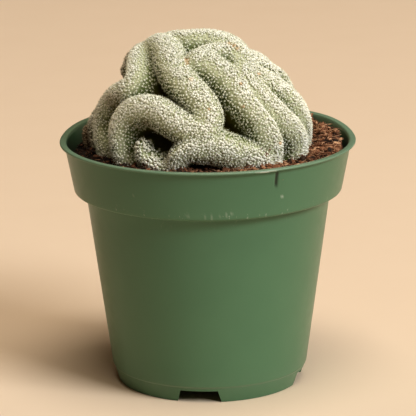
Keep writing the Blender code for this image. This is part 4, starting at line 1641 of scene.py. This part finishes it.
@dataclass
class Soil:
    """The soil: one filled body with a crumbly top, loose crumbs and coir fibres on it."""

    top_mm: float = 86.5
    radius_mm: float = 49.6
    level_radius_mm: float = 42.0
    edge_drop_mm: float = 1.6
    shade_drop_mm: float = 1.6
    heap_mm: float = 5.0
    heap_azimuth: float = 125.0
    heap_band_mm: tuple[float, float] = (39.0, 46.0)
    hollow_mm: tuple[float, float] = (33.0, -19.0)
    hollow_size_mm: tuple[float, float] = (7.0, 1.4)
    lump_mm: float = 0.9
    lump_pitch_mm: float = 4.5
    lump_band_mm: tuple[float, float] = (28.0, 36.0)
    hole_mm: tuple[float, float] = (12.3, 26.3)
    wall_mm: tuple[tuple[float, float], ...] = ((47.5, 72.9), (43.4, 71.8), (34.5, 5.6))
    columns: int = 320
    rows: int = 60
    tone: tuple[float, float] = (0.32, 0.3)
    tone_pitch_mm: float = 2.6
    # Painted shade: how much the tone drops towards the shaded left side.
    painted_shade_tone: float = 0.6
    open_from_mm: float = 33.0
    crumbs: int = 3000
    crumb_log_size: tuple[float, float] = (-0.62, 0.42)
    crumb_rise_mm: float = 0.25
    crumb_tone: tuple[float, float] = (0.50, 0.28)
    fibres: int = 900
    fibre_steps: int = 6
    fibre_length_mm: tuple[float, float] = (2.0, 6.5)
    fibre_radius_mm: tuple[float, float] = (0.07, 0.17)
    fibre_slope: tuple[float, float] = (-8.0, 14.0)
    fibre_rise_mm: float = 0.35
    fibre_bend: float = 0.22
    fibre_tone: tuple[float, float] = (0.72, 0.22)
    seed: int = 5

    def height(self, plan: Floats) -> Floats:
        """The top's height: level, lower at the wall and more so in the shade, with lumps.

        At the back right the soil is heaped up by the square of the cosine to the heap's azimuth,
        and a hollow at the cactus's right foot takes off depth exp(-(distance / reach)^2).

        Args:
            plan: Points x, y in mm (n, 2).

        Returns:
            The heights in mm.
        """
        radius = np.linalg.norm(plan, axis=1)
        outer = np.clip((radius - self.level_radius_mm) / (self.radius_mm - self.level_radius_mm), 0, 1)
        shade = np.clip(-plan[:, 0] / self.radius_mm, 0, 1)
        facing = np.maximum(plan @ direction(self.heap_azimuth, 0.0)[:2] / np.maximum(radius, 1), 0)
        heap = self.heap_mm * facing**2 * smoothstep(*self.heap_band_mm, radius)
        heap *= 1 - smoothstep(self.radius_mm - 0.7, self.radius_mm, radius)
        reach, depth = self.hollow_size_mm
        hollow = depth * np.exp(-(np.linalg.norm(plan - np.array(self.hollow_mm), axis=1) / reach) ** 2)
        points = np.column_stack([plan, np.zeros(len(plan))])
        lumps = self.lump_mm * octave_noise(points, self.lump_pitch_mm, 4, 3)
        lumps *= smoothstep(*self.lump_band_mm, radius)
        return self.top_mm - outer * (self.edge_drop_mm + self.shade_drop_mm * shade) + heap - hollow + lumps

    def body(self) -> Surface:
        """The filled body: a polar grid on top, then the wall, the bottom and the crown's hole.

        Returns:
            The closed surface with the value "tone".
        """
        hole, depth = self.hole_mm
        azimuth = np.arange(self.columns) * 360 / self.columns
        radii = np.linspace(hole, self.radius_mm, self.rows)
        turn, radius = np.meshgrid(azimuth, radii)
        plan = direction(turn.ravel(), 0.0)[:, :2] * radius.ravel()[:, None]
        top = np.column_stack([plan, self.height(plan)])
        ring = direction(azimuth, 0.0)
        hole_rows = [ring * hole + [0, 0, self.top_mm - depth]]
        wall_rows = [ring * r + [0, 0, z] for r, z in self.wall_mm]
        rows = 1 + self.rows + len(wall_rows)
        count = rows * self.columns
        poles = [(0, 0, self.top_mm - depth), (0, 0, self.wall_mm[-1][1])]
        points = np.vstack([*hole_rows, top, *wall_rows, *poles])
        faces = [grid_quads(rows, self.columns), fans(rows, self.columns, count, count + 1)]
        middle, change = self.tone
        # Tone with painted shade taken off towards the left.
        tone = middle + change * octave_noise(points, self.tone_pitch_mm, 3, 9) - self.painted_shade(points)
        return Surface(points * MM, faces, {"tone": np.clip(tone, 0, 1)})

    def painted_shade(self, points: Floats) -> Floats:
        """Painted shade: how much darker the soil towards the shaded left side is painted, in tone."""
        return self.painted_shade_tone * np.clip(-points[:, 0] / self.radius_mm, 0, 1)

    def scattered(self, draw: np.random.Generator, count: int) -> Floats:
        """Random places on the soil's open ring, even over its area.

        Args:
            draw: The random source.
            count: How many.

        Returns:
            Points in mm (count, 3) on the soil's top.
        """
        radius = np.sqrt(draw.uniform(self.open_from_mm**2, (self.radius_mm - 0.8) ** 2, count))
        plan = direction(draw.uniform(0, 360, count), 0.0)[:, :2] * radius[:, None]
        return np.column_stack([plan, self.height(plan)])

    def crumb_surface(self, draw: np.random.Generator) -> Surface:
        """The loose crumbs on the top, whose radius in mm is exp of a normal draw.

        Args:
            draw: The random source.

        Returns:
            The crumbs in one surface, with the value "tone".
        """
        at = self.scattered(draw, self.crumbs) + [0, 0, self.crumb_rise_mm]
        made = bits(draw, at, np.exp(draw.normal(*self.crumb_log_size, self.crumbs)))
        # Crumb tone with painted shade taken off towards the left.
        tone = draw.normal(*self.crumb_tone, self.crumbs) - self.painted_shade(at)
        made.values = {"tone": np.repeat(np.clip(tone, 0, 1), 12)}
        return made

    def fibre_surface(self, draw: np.random.Generator) -> Surface:
        """Bent fibres: a three-sided tube along place + run t + sag sin(pi t), thinner at its ends.

        Args:
            draw: The random source.

        Returns:
            The fibres in one surface, with the value "tone".
        """
        count, steps = self.fibres, self.fibre_steps
        length = draw.uniform(*self.fibre_length_mm, count)
        heading = direction(draw.uniform(0, 360, count), draw.uniform(*self.fibre_slope, count))
        bend = unit(draw.normal(0, 1, (count, 3))) * (self.fibre_bend * length)[:, None]
        at = self.scattered(draw, count) + [0, 0, self.fibre_rise_mm]
        t = np.linspace(0, 1, steps)
        spine = (at[:, None] + heading[:, None] * (length[:, None] * (t - 0.4))[..., None]
                 + bend[:, None] * np.sin(math.pi * t)[None, :, None])
        frames = Cactus.frames(heading, draw.uniform(0, math.tau, count))
        corner = np.arange(3) * math.tau / 3
        section = np.cos(corner)[:, None] * frames[:, None, 0] + np.sin(corner)[:, None] * frames[:, None, 1]
        thinner = 0.35 + 0.65 * np.sin(math.pi * (0.1 + 0.8 * t))
        radius = draw.uniform(*self.fibre_radius_mm, count)[:, None] * thinner
        points = spine[:, :, None] + section[:, None] * radius[..., None, None]
        tube = grid_quads(steps, 3)[:, ::-1]
        caps = np.array([(0, 1, 2), (3 * steps - 1, 3 * steps - 2, 3 * steps - 3)])[:, ::-1]
        starts = np.arange(count)[:, None, None] * 3 * steps
        faces = [(part[None] + starts).reshape(-1, part.shape[1]) for part in (tube, caps)]
        # Fibre tone with painted shade taken off towards the left.
        tone = draw.normal(*self.fibre_tone, count) - self.painted_shade(at)
        tone = np.repeat(np.clip(tone, 0, 1), 3 * steps)
        return Surface(points.reshape(-1, 3) * MM, faces, {"tone": tone})

    def build(self) -> None:
        """Build the body, its crumbs and its fibres."""
        draw = np.random.default_rng(self.seed)
        finish = Coir().build()
        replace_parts(self.body().build("soil_body", finish, Slot.SOIL), "soil")
        self.crumb_surface(draw).build("soil_crumbs", finish, Slot.SOIL, smooth=False)
        self.fibre_surface(draw).build("coir_fibres", finish, Slot.SOIL)


@dataclass(frozen=True)
class Lamp:
    """A square area light aimed at the cactus.

    Args:
        name: The light's name.
        azimuth: Where it stands round the object.
        elevation: How high it stands, as an angle.
        distance: How far away, in metres.
        size: The side of its square, in metres.
        power: Its power in watts.
        colour: Its colour.
        aim_height: The height it is aimed at, in metres.
    """

    name: str
    azimuth: float
    elevation: float
    distance: float
    size: float
    power: float
    colour: Colour
    aim_height: float = 0.07

    def build(self) -> None:
        """Build the light at its distance along its direction, facing the point it is aimed at."""
        lamp = bpy.data.lights.new(self.name, "AREA")
        lamp.size = self.size
        lamp.energy = self.power
        lamp.color = self.colour
        body = bpy.data.objects.new(self.name, lamp)
        way = Vector(direction(self.azimuth, self.elevation))
        body.location = Vector((0, 0, self.aim_height)) + way * self.distance
        body.rotation_euler = way.to_track_quat("Z", "Y").to_euler()
        bpy.context.scene.collection.objects.link(body)


@dataclass
class Studio:
    """The photograph's camera, a cream bowl of paper for floor and wall with painted shade in front and far
    out, and soft light.
    """

    target_mm: tuple[float, float, float] = (-0.126, 0.0, 63.724)
    distance_mm: float = 1044.172
    elevation: float = 14.544
    roll: float = -0.55
    lens_mm: float = 246.29
    floor_radius: float = 2.0
    wall_radius: float = 2.9
    wall_height: float = 1.4
    floor_start: float = 0.02
    floor_rings: int = 23
    bend_rings: int = 14
    floor_columns: int = 96
    lamps: tuple[Lamp, ...] = (
        Lamp("key", 52, 27, 3.2, 1.6, 132, (0.985, 1.0, 1.0)),
        Lamp("top", 20, 78, 4.2, 2.4, 104, (1.0, 0.89, 0.74)))
    world: Colour = (1.0, 0.66, 0.38)
    world_strength: float = 0.08

    def camera(self) -> None:
        """The camera: back = (0, -cos el, sin el), its right and up turned by the roll."""
        rise, roll = math.radians(self.elevation), math.radians(self.roll)
        back = Vector((0.0, -math.cos(rise), math.sin(rise)))
        right = Vector((1.0, 0.0, 0.0))
        up = back.cross(right)
        x = right * math.cos(roll) + up * math.sin(roll)
        y = up * math.cos(roll) - right * math.sin(roll)
        lens = bpy.data.cameras.new("camera")
        lens.sensor_width = 36.0
        lens.lens = self.lens_mm
        camera = bpy.data.objects.new("camera", lens)
        turn = Matrix((x, y, back)).transposed().to_4x4()
        place = Vector(self.target_mm) * MM + back * self.distance_mm * MM
        camera.matrix_world = Matrix.Translation(place) @ turn
        bpy.context.scene.collection.objects.link(camera)
        bpy.context.scene.camera = camera

    def floor(self) -> None:
        """The paper: a flat disc that sweeps up into a wall along a quarter of an ellipse."""
        bend = np.linspace(0, math.pi / 2, self.bend_rings)
        flat = np.geomspace(self.floor_start, self.floor_radius, self.floor_rings + 1)[:-1]
        radii = np.concatenate([flat, self.floor_radius
                                + (self.wall_radius - self.floor_radius) * np.sin(bend)])
        heights = np.concatenate([np.zeros(self.floor_rings), self.wall_height * (1 - np.cos(bend))])
        columns = self.floor_columns
        ring = direction(np.arange(columns) * 360 / columns, 0.0)
        points = (ring[None] * radii[:, None, None]).reshape(-1, 3)
        points[:, 2] = np.repeat(heights, columns)
        quads = grid_quads(len(radii), columns)[:, ::-1]
        column = np.arange(columns)
        hub = np.stack([np.full(columns, len(points)), column, (column + 1) % columns], -1)
        mesh = bpy.data.meshes.new("studio_floor")
        mesh.from_pydata(np.vstack([points, [[0, 0, 0]]]).tolist(), [], [*quads.tolist(), *hub.tolist()])
        mesh.shade_smooth()
        mesh.materials.append(Paper().build())
        floor = bpy.data.objects.new("studio_floor", mesh)
        bpy.context.scene.collection.objects.link(floor)

    def build(self) -> None:
        """Build the camera, the paper, the lights and the world."""
        self.camera()
        self.floor()
        for lamp in self.lamps:
            lamp.build()
        world = bpy.data.worlds.new("studio")
        world.use_nodes = True
        sky = world.node_tree.nodes["Background"]
        sky.inputs["Color"].default_value = (*self.world, 1.0)
        sky.inputs["Strength"].default_value = self.world_strength
        bpy.context.scene.world = world
        bpy.context.scene.view_settings.view_transform = "Standard"
        bpy.context.scene.view_settings.look = "Medium High Contrast"


def main() -> None:
    """Build the pot, the soil, the cactus and the studio."""
    logging.basicConfig(level=logging.INFO, format="%(message)s")
    Pot().build()
    Soil().build()
    Cactus(FoldedDome()).build()
    Studio().build()


if __name__ == "__main__":
    main()
